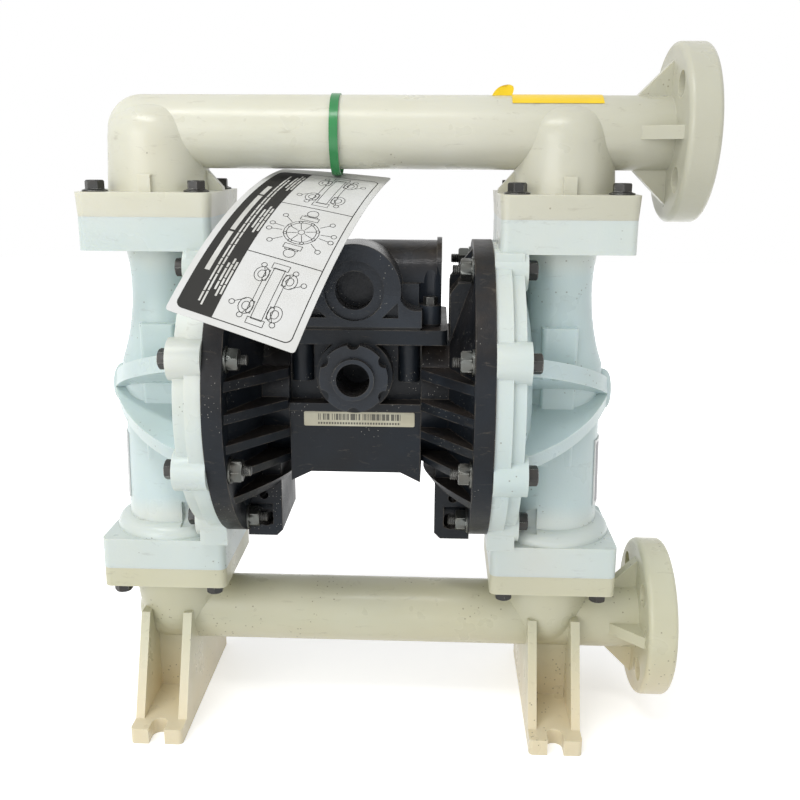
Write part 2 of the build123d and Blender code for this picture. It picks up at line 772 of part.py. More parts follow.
# Right air cover: finned disc, dished on the diaphragm side
with BuildPart() as air_cover_right:
    with BuildSketch(shaft_plane):
        with BuildLine():
            Polyline(
                (body_half_length, 0),
                (body_half_length, air_hub_radius),
                (cone_wall_start, air_hub_radius),
                (disc_back, cone_wall_radius),
                (disc_back, disc_radius),
                (seal_plane, disc_radius),
                (seal_plane, 0),
                close=True,
            )
        make_face()
    revolve(axis=shaft_axis)
    add(fin_set.part)
    # Mounting legs
    with BuildSketch(Plane.XZ):
        with BuildLine():
            Polyline(
                (leg_inner, leg_top),
                (leg_inner, leg_bottom + 4),
                (leg_inner + 4, leg_bottom),
                (disc_back + 1, leg_bottom),
                (disc_back + 1, leg_top),
                close=True,
            )
        make_face()
    extrude(amount=leg_half_depth, both=True)
    with BuildSketch(Plane.XZ):
        with Locations(((leg_inner + disc_back) / 2, leg_hole_height)):
            Circle(leg_hole_radius)
        with Locations(((leg_inner + disc_back) / 2 + 1, leg_hole_height + 17)):
            Circle(leg_hole_radius * 0.6)
    extrude(amount=leg_half_depth, both=True, mode=Mode.SUBTRACT)
    # Flat under the valve's mounting plate
    with BuildSketch(along_x(body_half_length)):
        with Locations((0, plate_bottom - shaft_height + 20)):
            Rectangle(2 * air_hub_radius + 20, 40)
    extrude(amount=cone_wall_start - body_half_length, mode=Mode.SUBTRACT)
    # Air chamber dish and bead pocket
    with BuildSketch(shaft_plane):
        with BuildLine():
            Polyline(
                (seal_plane, 0),
                (seal_plane, bead_pocket_radius),
                (diaphragm_inner, bead_pocket_radius),
                (diaphragm_inner, dish_rim_radius),
                (dish_floor, dish_floor_radius),
                (dish_floor, 0),
                close=True,
            )
        make_face()
    revolve(axis=shaft_axis, mode=Mode.SUBTRACT)
    # Shaft bearing and seal seat, pilot bushing seat
    with BuildSketch(along_x(body_half_length)):
        Circle(bearing_radius)
        with Locations((0, pilot_height)):
            Circle(pilot_bushing_radius)
    extrude(amount=dish_floor - body_half_length, mode=Mode.SUBTRACT)
    extrude(
        ring_of_bolts(along_x(disc_back - 1), cover_bolt_radius + cover_bolt_clearance),
        amount=seal_plane - disc_back + 1,
        mode=Mode.SUBTRACT,
    )
    # Spot faces where fins or struts reach a nut
    extrude(
        ring_of_bolts(along_x(disc_back - nut_height - stud_end - 4), washer_radius + spot_face_clearance),
        amount=nut_height + stud_end + 4,
        mode=Mode.SUBTRACT,
    )

with BuildPart() as air_cover_left:
    mirror(air_cover_right.part, about=Plane.YZ)

# Centre body
with BuildPart() as center_body:
    with BuildSketch(Plane.XZ):
        with BuildLine():
            Polyline(
                (-body_half_length, body_bottom_edge),
                (-body_bottom_flat, body_bottom),
                (body_bottom_flat, body_bottom),
                (body_half_length, body_bottom_edge),
                (body_half_length, ledge_bottom),
                (-body_half_length, ledge_bottom),
                close=True,
            )
        make_face()
    extrude(amount=body_half_depth, both=True)
    with BuildSketch(Plane.XY.offset(ledge_bottom)):
        Rectangle(2 * body_half_length, 2 * body_recess_half_depth)
    extrude(amount=plate_bottom - ledge_bottom)
    with BuildSketch(Plane.XY.offset(ledge_bottom)):
        Rectangle(2 * body_half_length, 2 * ledge_half_depth)
    extrude(amount=ledge_top - ledge_bottom)
    with BuildSketch(Plane.XY.offset(plate_bottom)):
        RectangleRounded(2 * plate_half_length, 2 * plate_half_depth, plate_round)
    extrude(amount=plate_thickness)
    # Screw columns under the plate
    with BuildSketch(Plane.XY.offset(column_bottom)):
        with GridLocations(2 * column_offset, 2 * body_recess_half_depth, 2, 2):
            Circle(column_radius)
    extrude(amount=plate_bottom - column_bottom)
    # Air inlet boss on the front
    with BuildSketch(Plane.XZ):
        with Locations((0, inlet_center_height)):
            Circle(inlet_boss_radius)
    extrude(amount=inlet_boss_face)
    with BuildSketch(Plane.XZ.offset(inlet_boss_face)):
        with Locations((0, inlet_center_height)):
            Circle(bushing_neck_radius)
    extrude(amount=-bushing_neck_length, mode=Mode.SUBTRACT)
    # Shaft tunnel and pilot pin pockets
    with BuildSketch(along_x(-body_half_length)):
        Circle(shaft_radius + 1)
    extrude(amount=2 * body_half_length, mode=Mode.SUBTRACT)
    for side in (-1, 1):
        with BuildSketch(along_x(side * body_half_length)):
            with Locations((0, pilot_height)):
                Circle(pilot_radius + 0.5)
        extrude(amount=-side * (body_half_length - pilot_inner_end + pilot_run), mode=Mode.SUBTRACT)
    # Blind holes for the valve screws
    with BuildSketch(Plane.XY.offset(plate_bottom + plate_thickness)):
        with GridLocations(2 * valve_bolt_offset_x, 2 * valve_bolt_offset_y, 2, 2):
            Circle(valve_screw_radius + port_thread_clearance)
    extrude(amount=-plate_thickness + 1.5, mode=Mode.SUBTRACT)


# Air inlet bushing: threaded insert under a lugged ring
with BuildPart() as air_inlet_bushing:
    with BuildSketch(Plane.XZ.offset(inlet_boss_face)):
        with Locations((0, inlet_center_height)):
            Circle(bushing_flange_radius)
            with PolarLocations(bushing_flange_radius + 1, bushing_lug_count, start_angle=90):
                Circle(bushing_notch_radius, mode=Mode.SUBTRACT)
    extrude(amount=bushing_flange_thickness)
    with BuildSketch(Plane.XZ.offset(inlet_boss_face)):
        with Locations((0, inlet_center_height)):
            Circle(bushing_collar_radius)
    extrude(amount=bushing_face - inlet_boss_face)
    with BuildSketch(Plane.XZ.offset(inlet_boss_face)):
        with Locations((0, inlet_center_height)):
            Circle(bushing_neck_radius - insert_clearance)
    extrude(amount=-bushing_neck_length)
    with BuildSketch(Plane.XZ.offset(bushing_face)):
        with Locations((0, inlet_center_height)):
            Circle(bushing_thread_radius)
    extrude(amount=-bushing_face, mode=Mode.SUBTRACT)

# Air valve housing: barrel on a skirt, bell-shaped exhaust face in front
with BuildPart() as air_valve_housing:
    with BuildSketch(Plane.XY.offset(valve_base)):
        Rectangle(2 * valve_half_length, 2 * valve_skirt_half_depth)
    extrude(amount=valve_axis_height - valve_base)
    with BuildSketch(along_x(-valve_half_length, valve_axis_height)):
        Circle(valve_barrel_radius)
    extrude(amount=2 * valve_half_length)
    for start in (-valve_half_length, valve_half_length - valve_rim_length):
        with BuildSketch(along_x(start, valve_axis_height)):
            Circle(valve_rim_radius)
        extrude(amount=valve_rim_length)
    flank_x = valve_bell_top_radius * cos(radians(10))
    flank_z = exhaust_height - valve_bell_top_radius * sin(radians(10))
    with BuildSketch(Plane.XZ.offset(valve_bell_face)):
        with BuildLine():
            Polyline(
                (-valve_bell_half_width, valve_base + valve_bell_foot),
                (-valve_bell_half_width, valve_base),
                (valve_bell_half_width, valve_base),
                (valve_bell_half_width, valve_base + valve_bell_foot),
            )
            for side in (-1, 1):
                ThreePointArc(
                    (side * flank_x, flank_z),
                    (side * (flank_x + 3.2), (flank_z + valve_base + valve_bell_foot) / 2 - 1),
                    (side * valve_bell_half_width, valve_base + valve_bell_foot),
                )
            ThreePointArc(
                (-flank_x, flank_z), (0, exhaust_height + valve_bell_top_radius), (flank_x, flank_z)
            )
        make_face()
    extrude(amount=-valve_bell_face + valve_bell_back)
    with BuildSketch(Plane.XY.offset(valve_base)):
        with GridLocations(2 * valve_bolt_offset_x, 2 * valve_bolt_offset_y, 2, 2):
            Circle(valve_lug_radius)
    extrude(amount=valve_lug_height)
    # Access grooves over the screws, and the flat seat of the gasket
    with BuildSketch(Plane.XY.offset(valve_base + valve_lug_height)):
        with GridLocations(2 * valve_bolt_offset_x, 2 * valve_bolt_offset_y, 2, 2):
            Circle(valve_lug_radius + 0.4)
    extrude(amount=2 * valve_barrel_radius, mode=Mode.SUBTRACT)
    with BuildSketch(Plane.XY.offset(valve_base)):
        Rectangle(2 * valve_half_length + 2, 4 * valve_barrel_radius)
    extrude(amount=-valve_rim_radius, mode=Mode.SUBTRACT)
    with BuildSketch(Plane.XY.offset(valve_base)):
        with GridLocations(2 * valve_bolt_offset_x, 2 * valve_bolt_offset_y, 2, 2):
            Circle(valve_screw_radius + insert_clearance)
    extrude(amount=valve_lug_height, mode=Mode.SUBTRACT)
    # Exhaust port and the lightening pockets beside it
    with BuildSketch(Plane.XZ.offset(valve_bell_face)):
        with Locations((0, exhaust_height)):
            Circle(exhaust_recess_radius)
    extrude(amount=-exhaust_recess_depth, mode=Mode.SUBTRACT)
    with BuildSketch(Plane.XZ.offset(valve_bell_face)):
        with Locations((0, exhaust_height)):
            Circle(exhaust_thread_radius)
    extrude(amount=-exhaust_recess_depth - exhaust_thread_length, mode=Mode.SUBTRACT)
    pocket = [(17.5, 6.0), (27.5, 6.0), (27.0, 15.5)]
    for side in (-1, 1):
        outline = [(side * x, valve_base + z) for x, z in pocket]
        extrude(polygon_on(Plane.XZ.offset(valve_bell_face), outline), amount=-6, mode=Mode.SUBTRACT)
    # Spool bore, cap seats and grooves for the retaining rings
    with BuildSketch(along_x(-valve_half_length, valve_axis_height)):
        Circle(spool_bore_radius)
    extrude(amount=2 * valve_half_length, mode=Mode.SUBTRACT)
    for side in (-1, 1):
        with BuildSketch(along_x(side * valve_half_length, valve_axis_height)):
            Circle(cap_radius + cap_clearance)
        extrude(amount=-side * cap_seat_depth, mode=Mode.SUBTRACT)
        with BuildSketch(along_x(side * ring_start, valve_axis_height)):
            Circle(ring_groove_radius)
        extrude(amount=side * (ring_thickness + 0.1), mode=Mode.SUBTRACT)

with BuildPart() as air_valve_gasket:
    with BuildSketch(Plane.XY.offset(plate_bottom + plate_thickness)):
        Rectangle(2 * (valve_half_length - gasket_margin), 2 * (valve_skirt_half_depth - gasket_margin))
        with Locations((0, (gasket_margin - valve_bell_face) / 2)):
            Rectangle(2 * (valve_bell_half_width - gasket_margin), valve_bell_face - gasket_margin)
        with GridLocations(2 * valve_bolt_offset_x, 2 * valve_bolt_offset_y, 2, 2):
            Circle(valve_lug_radius - gasket_margin)
            Circle(valve_screw_radius + insert_clearance, mode=Mode.SUBTRACT)
        with GridLocations(26, 0, 3, 1):
            RectangleRounded(14, 18, 3, mode=Mode.SUBTRACT)
    extrude(amount=valve_gasket_thickness)

with BuildPart() as air_valve_screws:
    with BuildSketch(Plane.XY.offset(plate_bottom + 2.5)):
        with GridLocations(2 * valve_bolt_offset_x, 2 * valve_bolt_offset_y, 2, 2):
            Circle(valve_screw_radius)
    extrude(amount=valve_base + valve_lug_height - plate_bottom - 2.5)
    with BuildSketch(Plane.XY.offset(valve_base + valve_lug_height)):
        with GridLocations(2 * valve_bolt_offset_x, 2 * valve_bolt_offset_y, 2, 2):
            RegularPolygon(valve_screw_flats / 2, 6, major_radius=False)
    extrude(amount=valve_screw_head)


def end_cap(side):
    """Disc with a pull boss that closes the spool bore."""
    with BuildPart() as cap:
        with BuildSketch(along_x(side * cap_start, valve_axis_height)):
            Circle(cap_radius)
        extrude(amount=side * cap_thickness)
        with BuildSketch(along_x(side * ring_start, valve_axis_height)):
            Circle(cap_radius / 3)
        extrude(amount=side * (valve_half_length - ring_start))
    return cap


valve_end_cap_left = end_cap(-1)
valve_end_cap_right = end_cap(1)

with BuildPart() as valve_retaining_rings:
    for side in (-1, 1):
        with BuildSketch(along_x(side * ring_start, valve_axis_height)):
            Circle(ring_groove_radius - 0.1)
            Circle(ring_groove_radius - 3.5, mode=Mode.SUBTRACT)
            with Locations((0, -ring_groove_radius)):
                Rectangle(8, 12, mode=Mode.SUBTRACT)
        extrude(amount=side * ring_thickness)

# Valve spool with its seal rings
land_places = [
    (2 * i / (spool_lands - 1) - 1) * (spool_half_length - spool_land / 2) for i in range(spool_lands)
]
with BuildPart() as valve_spool:
    with BuildSketch(along_x(-spool_half_length, valve_axis_height)):
        Circle(spool_waist_radius)
    extrude(amount=2 * spool_half_length)
    for place in land_places:
        with BuildSketch(along_x(place - spool_land / 2, valve_axis_height)):
            Circle(spool_radius)
        extrude(amount=spool_land)
    for place in land_places:
        with BuildSketch(along_x(place - spool_seal_width / 2, valve_axis_height)):
            Circle(spool_radius + 1)
            Circle(spool_seal_inner, mode=Mode.SUBTRACT)
        extrude(amount=spool_seal_width, mode=Mode.SUBTRACT)

with BuildPart() as valve_spool_seals:
    for place in land_places:
        with BuildSketch(along_x(place - spool_seal_width / 2, valve_axis_height)):
            Circle(spool_seal_radius)
            Circle(spool_seal_inner, mode=Mode.SUBTRACT)
        extrude(amount=spool_seal_width)


def tube(start, length, outer, inner, height=shaft_height):
    """Plain ring or sleeve along X."""
    with BuildPart() as sleeve:
        with BuildSketch(along_x(start, height)):
            Circle(outer)
            Circle(inner, mode=Mode.SUBTRACT)
        extrude(amount=length)
    return sleeve


def both_sides(right):
    """A right-hand piece and its mirror image as one node."""
    with BuildPart() as pair:
        add(right.part)
        mirror(right.part, about=Plane.YZ)
    return pair


def mirrored(right):
    with BuildPart() as left:
        mirror(right.part, about=Plane.YZ)
    return left


# Shaft bearings and seals in the air covers, pilot bushings above them
shaft_bearing_right = tube(
    bearing_start, dish_floor - bearing_start, bearing_radius, shaft_radius + shaft_clearance
)
shaft_bearing_left = mirrored(shaft_bearing_right)
shaft_seals = both_sides(tube(body_half_length, seal_length, bearing_radius, shaft_radius + shaft_clearance))
pilot_bushings = both_sides(
    tube(
        body_half_length,
        dish_floor - body_half_length,
        pilot_bushing_radius,
        pilot_radius + pilot_clearance,
        pilot_axis_height,
    )
)

with BuildPart() as pilot_pin_right:
    with BuildSketch(along_x(pilot_inner_end, pilot_axis_height)):
        Circle(pilot_radius)
    extrude(amount=pilot_outer_end - pilot_inner_end)
pilot_pin_left = mirrored(pilot_pin_right)

# Diaphragm rod
with BuildPart() as diaphragm_shaft:
    with BuildSketch(along_x(-air_plate_face)):
        Circle(shaft_radius)
    extrude(amount=2 * air_plate_face)
    for side in (-1, 1):
        with BuildSketch(along_x(side * air_plate_face)):
            Circle(shaft_bolt_radius + shaft_clearance)
        extrude(amount=-side * (shaft_bolt_grip + 1), mode=Mode.SUBTRACT)

with BuildPart() as air_side_plate_right:
    with BuildSketch(shaft_plane):
        with BuildLine():
            Polyline(
                (air_plate_face, shaft_bolt_hole),
                (air_plate_face, air_plate_radius / 2),
                (diaphragm_inner - 3, air_plate_radius),
                (diaphragm_inner, air_plate_radius),
                (diaphragm_inner, shaft_bolt_hole),
                close=True,
            )
        make_face()
    revolve(axis=shaft_axis)
air_side_plate_left = mirrored(air_side_plate_right)

with BuildPart() as fluid_side_plate_right:
    with BuildSketch(shaft_plane):
        with BuildLine():
            Line((diaphragm_outer, shaft_bolt_hole), (diaphragm_outer, fluid_plate_radius))
            ThreePointArc(
                (diaphragm_outer, fluid_plate_radius),
                (fluid_plate_face - 3, fluid_plate_radius * 0.78),
                (fluid_plate_face, shaft_bolt_flats * 0.7),
            )
            Line((fluid_plate_face, shaft_bolt_flats * 0.7), (fluid_plate_face, shaft_bolt_hole))
            Line((fluid_plate_face, shaft_bolt_hole), (diaphragm_outer, shaft_bolt_hole))
        make_face()
    revolve(axis=shaft_axis)
fluid_side_plate_left = mirrored(fluid_side_plate_right)

with BuildPart() as shaft_bolt_right:
    with BuildSketch(along_x(air_plate_face - shaft_bolt_grip)):
        Circle(shaft_bolt_radius)
    extrude(amount=fluid_plate_face - air_plate_face + shaft_bolt_grip)
    with BuildSketch(along_x(fluid_plate_face)):
        RegularPolygon(shaft_bolt_flats / 2, 6, major_radius=False)
    extrude(amount=shaft_bolt_head)
shaft_bolts = both_sides(shaft_bolt_right)

# Diaphragm: clamped bead, one roll, flat centre
with BuildPart() as diaphragm_right:
    bead_inner = diaphragm_bead_radius - diaphragm_bead_width / 2
    roll_middle = (diaphragm_roll_start + bead_inner) / 2
    with BuildSketch(shaft_plane):
        with BuildLine():
            Line((diaphragm_inner, shaft_bolt_hole), (diaphragm_inner, diaphragm_roll_start))
            ThreePointArc(
                (diaphragm_inner, diaphragm_roll_start),
                (diaphragm_inner + diaphragm_roll_height, roll_middle),
                (diaphragm_inner, bead_inner),
            )
            Polyline(
                (diaphragm_inner, bead_inner),
                (diaphragm_inner, diaphragm_bead_radius + diaphragm_bead_width / 2),
                (diaphragm_outer, diaphragm_bead_radius + diaphragm_bead_width / 2),
                (diaphragm_outer, bead_inner),
            )
            ThreePointArc(
                (diaphragm_outer, bead_inner),
                (diaphragm_outer + diaphragm_roll_height, roll_middle),
                (diaphragm_outer, diaphragm_roll_start),
            )
            Polyline(
                (diaphragm_outer, diaphragm_roll_start),
                (diaphragm_outer, shaft_bolt_hole),
                (diaphragm_inner, shaft_bolt_hole),
            )
        make_face()
    revolve(axis=shaft_axis)
diaphragm_left = mirrored(diaphragm_right)


# Ball checks
def ball_seat(x, bottom):
    with BuildPart() as seat:
        with BuildSketch(Plane.XY.offset(bottom)):
            with Locations((x, 0)):
                Circle(seat_radius)
                Circle(seat_bore_radius, mode=Mode.SUBTRACT)
        extrude(amount=seat_thickness)
    return seat


def check_ball(x, seat_top):
    with BuildPart() as ball:
        with Locations((x, 0, seat_top + ball_rise)):
            Sphere(ball_radius)
    return ball


outlet_seat_left = ball_seat(-duct_offset, outlet_joint_height - seat_thickness)
outlet_seat_right = ball_seat(duct_offset, outlet_joint_height - seat_thickness)
inlet_seat_left = ball_seat(-duct_offset, inlet_joint_height - seat_thickness)
inlet_seat_right = ball_seat(duct_offset, inlet_joint_height - seat_thickness)
outlet_ball_left = check_ball(-duct_offset, outlet_joint_height)
outlet_ball_right = check_ball(duct_offset, outlet_joint_height)
inlet_ball_left = check_ball(-duct_offset, inlet_joint_height)
inlet_ball_right = check_ball(duct_offset, inlet_joint_height)

with BuildPart() as port_seals:
    for joint in (outlet_joint_height, inlet_joint_height):
        with BuildSketch(Plane.XY.offset(joint - seal_ring_section)):
            with Locations((-duct_offset, 0), (duct_offset, 0)):
                Circle(seal_ring_radius + seal_ring_section / 2)
                Circle(seal_ring_radius - seal_ring_section / 2, mode=Mode.SUBTRACT)
        extrude(amount=seal_ring_section)


# Fasteners
def port_screws(joint, head_face, direction):
    """Eight flange-head screws; direction +1 has the heads on top."""
    with BuildPart() as screws:
        for plane_height, amount, shape in (
            (joint - direction * port_screw_grip, head_face - joint + direction * port_screw_grip, "shank"),
            (head_face, direction * port_head_flange_thickness, "flange"),
            (head_face, direction * port_head_height, "head"),
        ):
            with BuildSketch(Plane.XY.offset(plane_height)) as outline:
                with Locations((-duct_offset, 0), (duct_offset, 0)):
                    with GridLocations(2 * port_bolt_offset, 2 * port_bolt_offset, 2, 2):
                        if shape == "shank":
                            Circle(port_screw_radius)
                        elif shape == "flange":
                            Circle(port_head_flange_radius)
                        else:
                            RegularPolygon(port_head_flats / 2, 6, major_radius=False)
            extrude(outline.sketch, amount=amount)
    return screws


outlet_manifold_screws = port_screws(outlet_joint_height, flange_top, 1)
inlet_manifold_screws = port_screws(inlet_joint_height, flange_bottom, -1)


def hexes(plane, flats):
    with BuildSketch(plane) as outline:
        with PolarLocations(cover_bolt_circle_radius, cover_bolt_count, start_angle=180 / cover_bolt_count):
            RegularPolygon(flats / 2, 6, major_radius=False)
    return outline.sketch


with BuildPart() as cover_bolts_right:
    bolt_end = disc_back - washer_thickness - nut_height - stud_end
    extrude(ring_of_bolts(along_x(bolt_end), cover_bolt_radius), amount=boss_face - bolt_end)
    extrude(hexes(along_x(boss_face), cover_head_flats), amount=cover_head_height)
cover_bolts_left = mirrored(cover_bolts_right)

with BuildPart() as cover_nuts_right:
    extrude(ring_of_bolts(along_x(disc_back), washer_radius), amount=-washer_thickness)
    extrude(hexes(along_x(disc_back), cover_nut_flats), amount=-washer_thickness - nut_height)
    extrude(
        ring_of_bolts(along_x(disc_back), cover_bolt_radius + nut_clearance),
        amount=-washer_thickness - nut_height,
        mode=Mode.SUBTRACT,
    )
cover_nuts_left = mirrored(cover_nuts_right)

# Labels, badges and the strap
with BuildPart() as center_label:
    with BuildSketch(Plane.XZ.offset(body_half_depth)):
        with Locations(((label_left + label_right) / 2, (label_bottom + label_top) / 2)):
            RectangleRounded(label_right - label_left, label_top - label_bottom, 1)
    extrude(amount=label_thickness)

with BuildPart() as badge_right:
    duct_low = lower_duct_radius - 2 * (badge_bottom - duct_taper_start) / (shaft_height - duct_taper_start)
    duct_high = lower_duct_radius - 2 * (badge_top - duct_taper_start) / (shaft_height - duct_taper_start)
    badge_turn = radians(badge_angle / 2)
    badge_plane = Plane(
        origin=(duct_offset, 0, 0),
        x_dir=(cos(badge_turn), -sin(badge_turn), 0),
        z_dir=(-sin(badge_turn), -cos(badge_turn), 0),
    )
    with BuildSketch(badge_plane):
        with BuildLine():
            Polyline(
                (duct_low + skin_gap, badge_bottom),
                (duct_low + skin_gap + badge_thickness, badge_bottom),
                (duct_high + skin_gap + badge_thickness, badge_top),
                (duct_high + skin_gap, badge_top),
                close=True,
            )
        make_face()
    revolve(axis=vertical_axis(duct_offset), revolution_arc=badge_angle)
badge_left = mirrored(badge_right)

strap_inner = pipe_radius + skin_gap + strap_sag / 2
strap = tube(
    strap_x - strap_width / 2,
    strap_width,
    strap_inner + strap_thickness,
    strap_inner,
    outlet_height - strap_sag / 2,
)

with BuildPart() as pipe_sticker:
    with BuildSketch(along_x(sticker_start, outlet_height)):
        Circle(pipe_radius + skin_gap + sticker_thickness)
        Circle(pipe_radius + skin_gap, mode=Mode.SUBTRACT)
        with Locations((0, -pipe_radius + sticker_low)):
            Rectangle(4 * pipe_radius, 2 * pipe_radius, mode=Mode.SUBTRACT)
    extrude(amount=sticker_end - sticker_start)

# Tag: a strip of a wide tube, trimmed to the card's outline in plan view
tag_plan = Plane(
    origin=(*tag_corner, outlet_height - tag_corner_drop - tag_bend_radius * cos(radians(tag_corner_angle))),
    x_dir=(cos(radians(tag_yaw)), sin(radians(tag_yaw)), 0),
    z_dir=(0, 0, 1),
)
tag_side = Plane(
    origin=tag_plan.origin + tag_plan.y_dir * tag_bend_radius * sin(radians(tag_corner_angle)),
    x_dir=tag_plan.y_dir,
    z_dir=tag_plan.x_dir,
)


def tag_point(across, along):
    """Plan position of a point of the card, from its lower left corner."""
    turn = radians(tag_turn)
    climb = along * cos(turn) - across * sin(turn)
    angle = radians(tag_corner_angle) - climb / tag_bend_radius
    return (
        across * cos(turn) + along * sin(turn),
        tag_bend_radius * (sin(radians(tag_corner_angle)) - sin(angle)),
    )


tag_steps = 8
tag_outline = [tag_point(tag_width * i / tag_steps, 0) for i in range(tag_steps)]
tag_outline += [tag_point(tag_width, tag_length * i / tag_steps) for i in range(tag_steps)]
tag_outline += [tag_point(tag_width * (1 - i / tag_steps), tag_length) for i in range(tag_steps)]
tag_outline += [tag_point(0, tag_length * (1 - i / tag_steps)) for i in range(tag_steps)]
with BuildPart() as paper_tag:
    with BuildSketch(tag_side.offset(-tag_width)):
        Circle(tag_bend_radius + tag_thickness / 2)
        Circle(tag_bend_radius - tag_thickness / 2, mode=Mode.SUBTRACT)
    extrude(amount=3 * tag_width + tag_length)
    extrude(polygon_on(tag_plan, tag_outline), amount=2 * tag_bend_radius, mode=Mode.INTERSECT)

pieces = {
    "paper_tag": paper_tag,
    "outlet_manifold": outlet_manifold,
    "inlet_manifold": inlet_manifold,
    "fluid_cover_left": fluid_cover_left,
    "fluid_cover_right": fluid_cover_right,
    "air_cover_left": air_cover_left,
    "air_cover_right": air_cover_right,
    "center_body": center_body,
    "air_inlet_bushing": air_inlet_bushing,
    "air_valve_housing": air_valve_housing,
    "air_valve_gasket": air_valve_gasket,
    "air_valve_screws": air_valve_screws,
    "valve_end_cap_left": valve_end_cap_left,
    "valve_end_cap_right": valve_end_cap_right,
    "valve_retaining_rings": valve_retaining_rings,
    "valve_spool": valve_spool,
    "valve_spool_seals": valve_spool_seals,
    "shaft_bearing_left": shaft_bearing_left,
    "shaft_bearing_right": shaft_bearing_right,
    "shaft_seals": shaft_seals,
    "pilot_bushings": pilot_bushings,
    "pilot_pin_left": pilot_pin_left,
    "pilot_pin_right": pilot_pin_right,
    "diaphragm_shaft": diaphragm_shaft,
    "air_side_plate_left": air_side_plate_left,
    "air_side_plate_right": air_side_plate_right,
    "fluid_side_plate_left": fluid_side_plate_left,
    "fluid_side_plate_right": fluid_side_plate_right,
    "shaft_bolts": shaft_bolts,
    "diaphragm_left": diaphragm_left,
    "diaphragm_right": diaphragm_right,
    "outlet_seat_left": outlet_seat_left,
    "outlet_seat_right": outlet_seat_right,
    "inlet_seat_left": inlet_seat_left,
    "inlet_seat_right": inlet_seat_right,
    "outlet_ball_left": outlet_ball_left,
    "outlet_ball_right": outlet_ball_right,
    "inlet_ball_left": inlet_ball_left,
    "inlet_ball_right": inlet_ball_right,
    "port_seals": port_seals,
    "outlet_manifold_screws": outlet_manifold_screws,
    "inlet_manifold_screws": inlet_manifold_screws,
    "cover_bolts_left": cover_bolts_left,
    "cover_bolts_right": cover_bolts_right,
    "cover_nuts_left": cover_nuts_left,
    "cover_nuts_right": cover_nuts_right,
    "center_label": center_label,
    "badge_left": badge_left,
    "badge_right": badge_right,
    "strap": strap,
    "pipe_sticker": pipe_sticker,
}
for name, piece in pieces.items():
    piece.part.label = name
    export_step(piece.part, f"parts/{name}.step")
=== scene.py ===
from math import cos, sin, radians, pi

import bmesh
import bpy
import numpy as np
from mathutils import Matrix, Vector


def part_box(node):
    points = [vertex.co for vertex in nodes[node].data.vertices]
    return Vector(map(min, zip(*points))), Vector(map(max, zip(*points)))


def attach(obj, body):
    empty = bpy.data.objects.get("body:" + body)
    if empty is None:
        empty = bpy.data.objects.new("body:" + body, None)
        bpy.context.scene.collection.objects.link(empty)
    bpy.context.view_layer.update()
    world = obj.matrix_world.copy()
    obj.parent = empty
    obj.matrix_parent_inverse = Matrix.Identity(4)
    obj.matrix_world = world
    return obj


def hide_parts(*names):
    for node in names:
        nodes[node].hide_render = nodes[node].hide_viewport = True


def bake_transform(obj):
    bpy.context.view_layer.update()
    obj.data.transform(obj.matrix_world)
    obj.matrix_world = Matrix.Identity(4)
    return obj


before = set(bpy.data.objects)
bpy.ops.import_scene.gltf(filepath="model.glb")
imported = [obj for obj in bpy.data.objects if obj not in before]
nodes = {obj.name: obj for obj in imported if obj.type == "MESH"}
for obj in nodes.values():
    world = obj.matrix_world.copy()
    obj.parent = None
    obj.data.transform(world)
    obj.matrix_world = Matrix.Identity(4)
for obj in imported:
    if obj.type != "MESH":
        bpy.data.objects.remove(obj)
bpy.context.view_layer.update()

# Looks for an air operated double diaphragm pump: metres, X along the shaft, Z up, air inlet towards -Y.

shaftHeight = 0.237
outletHeight = 0.404
white = (1, 1, 1, 1)
print("frame loaded:", len(nodes), "nodes")


def feed(tree, socket, value):
    # a socket takes another node's output or a plain value
    if hasattr(value, "is_output"):
        tree.links.new(value, socket)
    else:
        socket.default_value = value


def addNode(tree, kind, **values):
    # values named after sockets go to the sockets, the rest to the node
    node = tree.nodes.new(kind)
    for name, value in values.items():
        if name in node.inputs:
            feed(tree, node.inputs[name], value)
        else:
            setattr(node, name, value)
    return node


def mathNode(tree, operation, *values):
    node = addNode(tree, "ShaderNodeMath", operation=operation)
    for socket, value in zip(node.inputs, values):
        feed(tree, socket, value)
    return node.outputs[0]


def mixColors(tree, mask, first, second):
    node = addNode(tree, "ShaderNodeMix", data_type="RGBA")
    for index, value in ((0, mask), (6, first), (7, second)):  # the mask and the two colour sockets
        feed(tree, node.inputs[index], value)
    return node.outputs[2]


def rangeOf(tree, value, low, high, toLow=0.0, toHigh=1.0):
    node = tree.nodes.new("ShaderNodeMapRange")
    for socket, given in zip(node.inputs, (value, low, high, toLow, toHigh)):
        feed(tree, socket, given)
    return node.outputs[0]


def objectPoint(tree):
    return tree.nodes.new("ShaderNodeTexCoord").outputs["Object"]


def pointParts(tree, axes="XYZ"):
    split = addNode(tree, "ShaderNodeSeparateXYZ", Vector=objectPoint(tree))
    return [split.outputs[axis] for axis in axes]


def lengthOf(tree, a, b):
    squares = [mathNode(tree, "POWER", side, 2.0) for side in (a, b)]
    return mathNode(tree, "SQRT", mathNode(tree, "ADD", *squares))


def insideRange(tree, value, low, high):
    over = mathNode(tree, "GREATER_THAN", value, low)
    return mathNode(tree, "MULTIPLY", over, mathNode(tree, "LESS_THAN", value, high))


def noise(tree, scale, **values):
    return addNode(tree, "ShaderNodeTexNoise", Vector=objectPoint(tree), Scale=scale, **values).outputs[0]


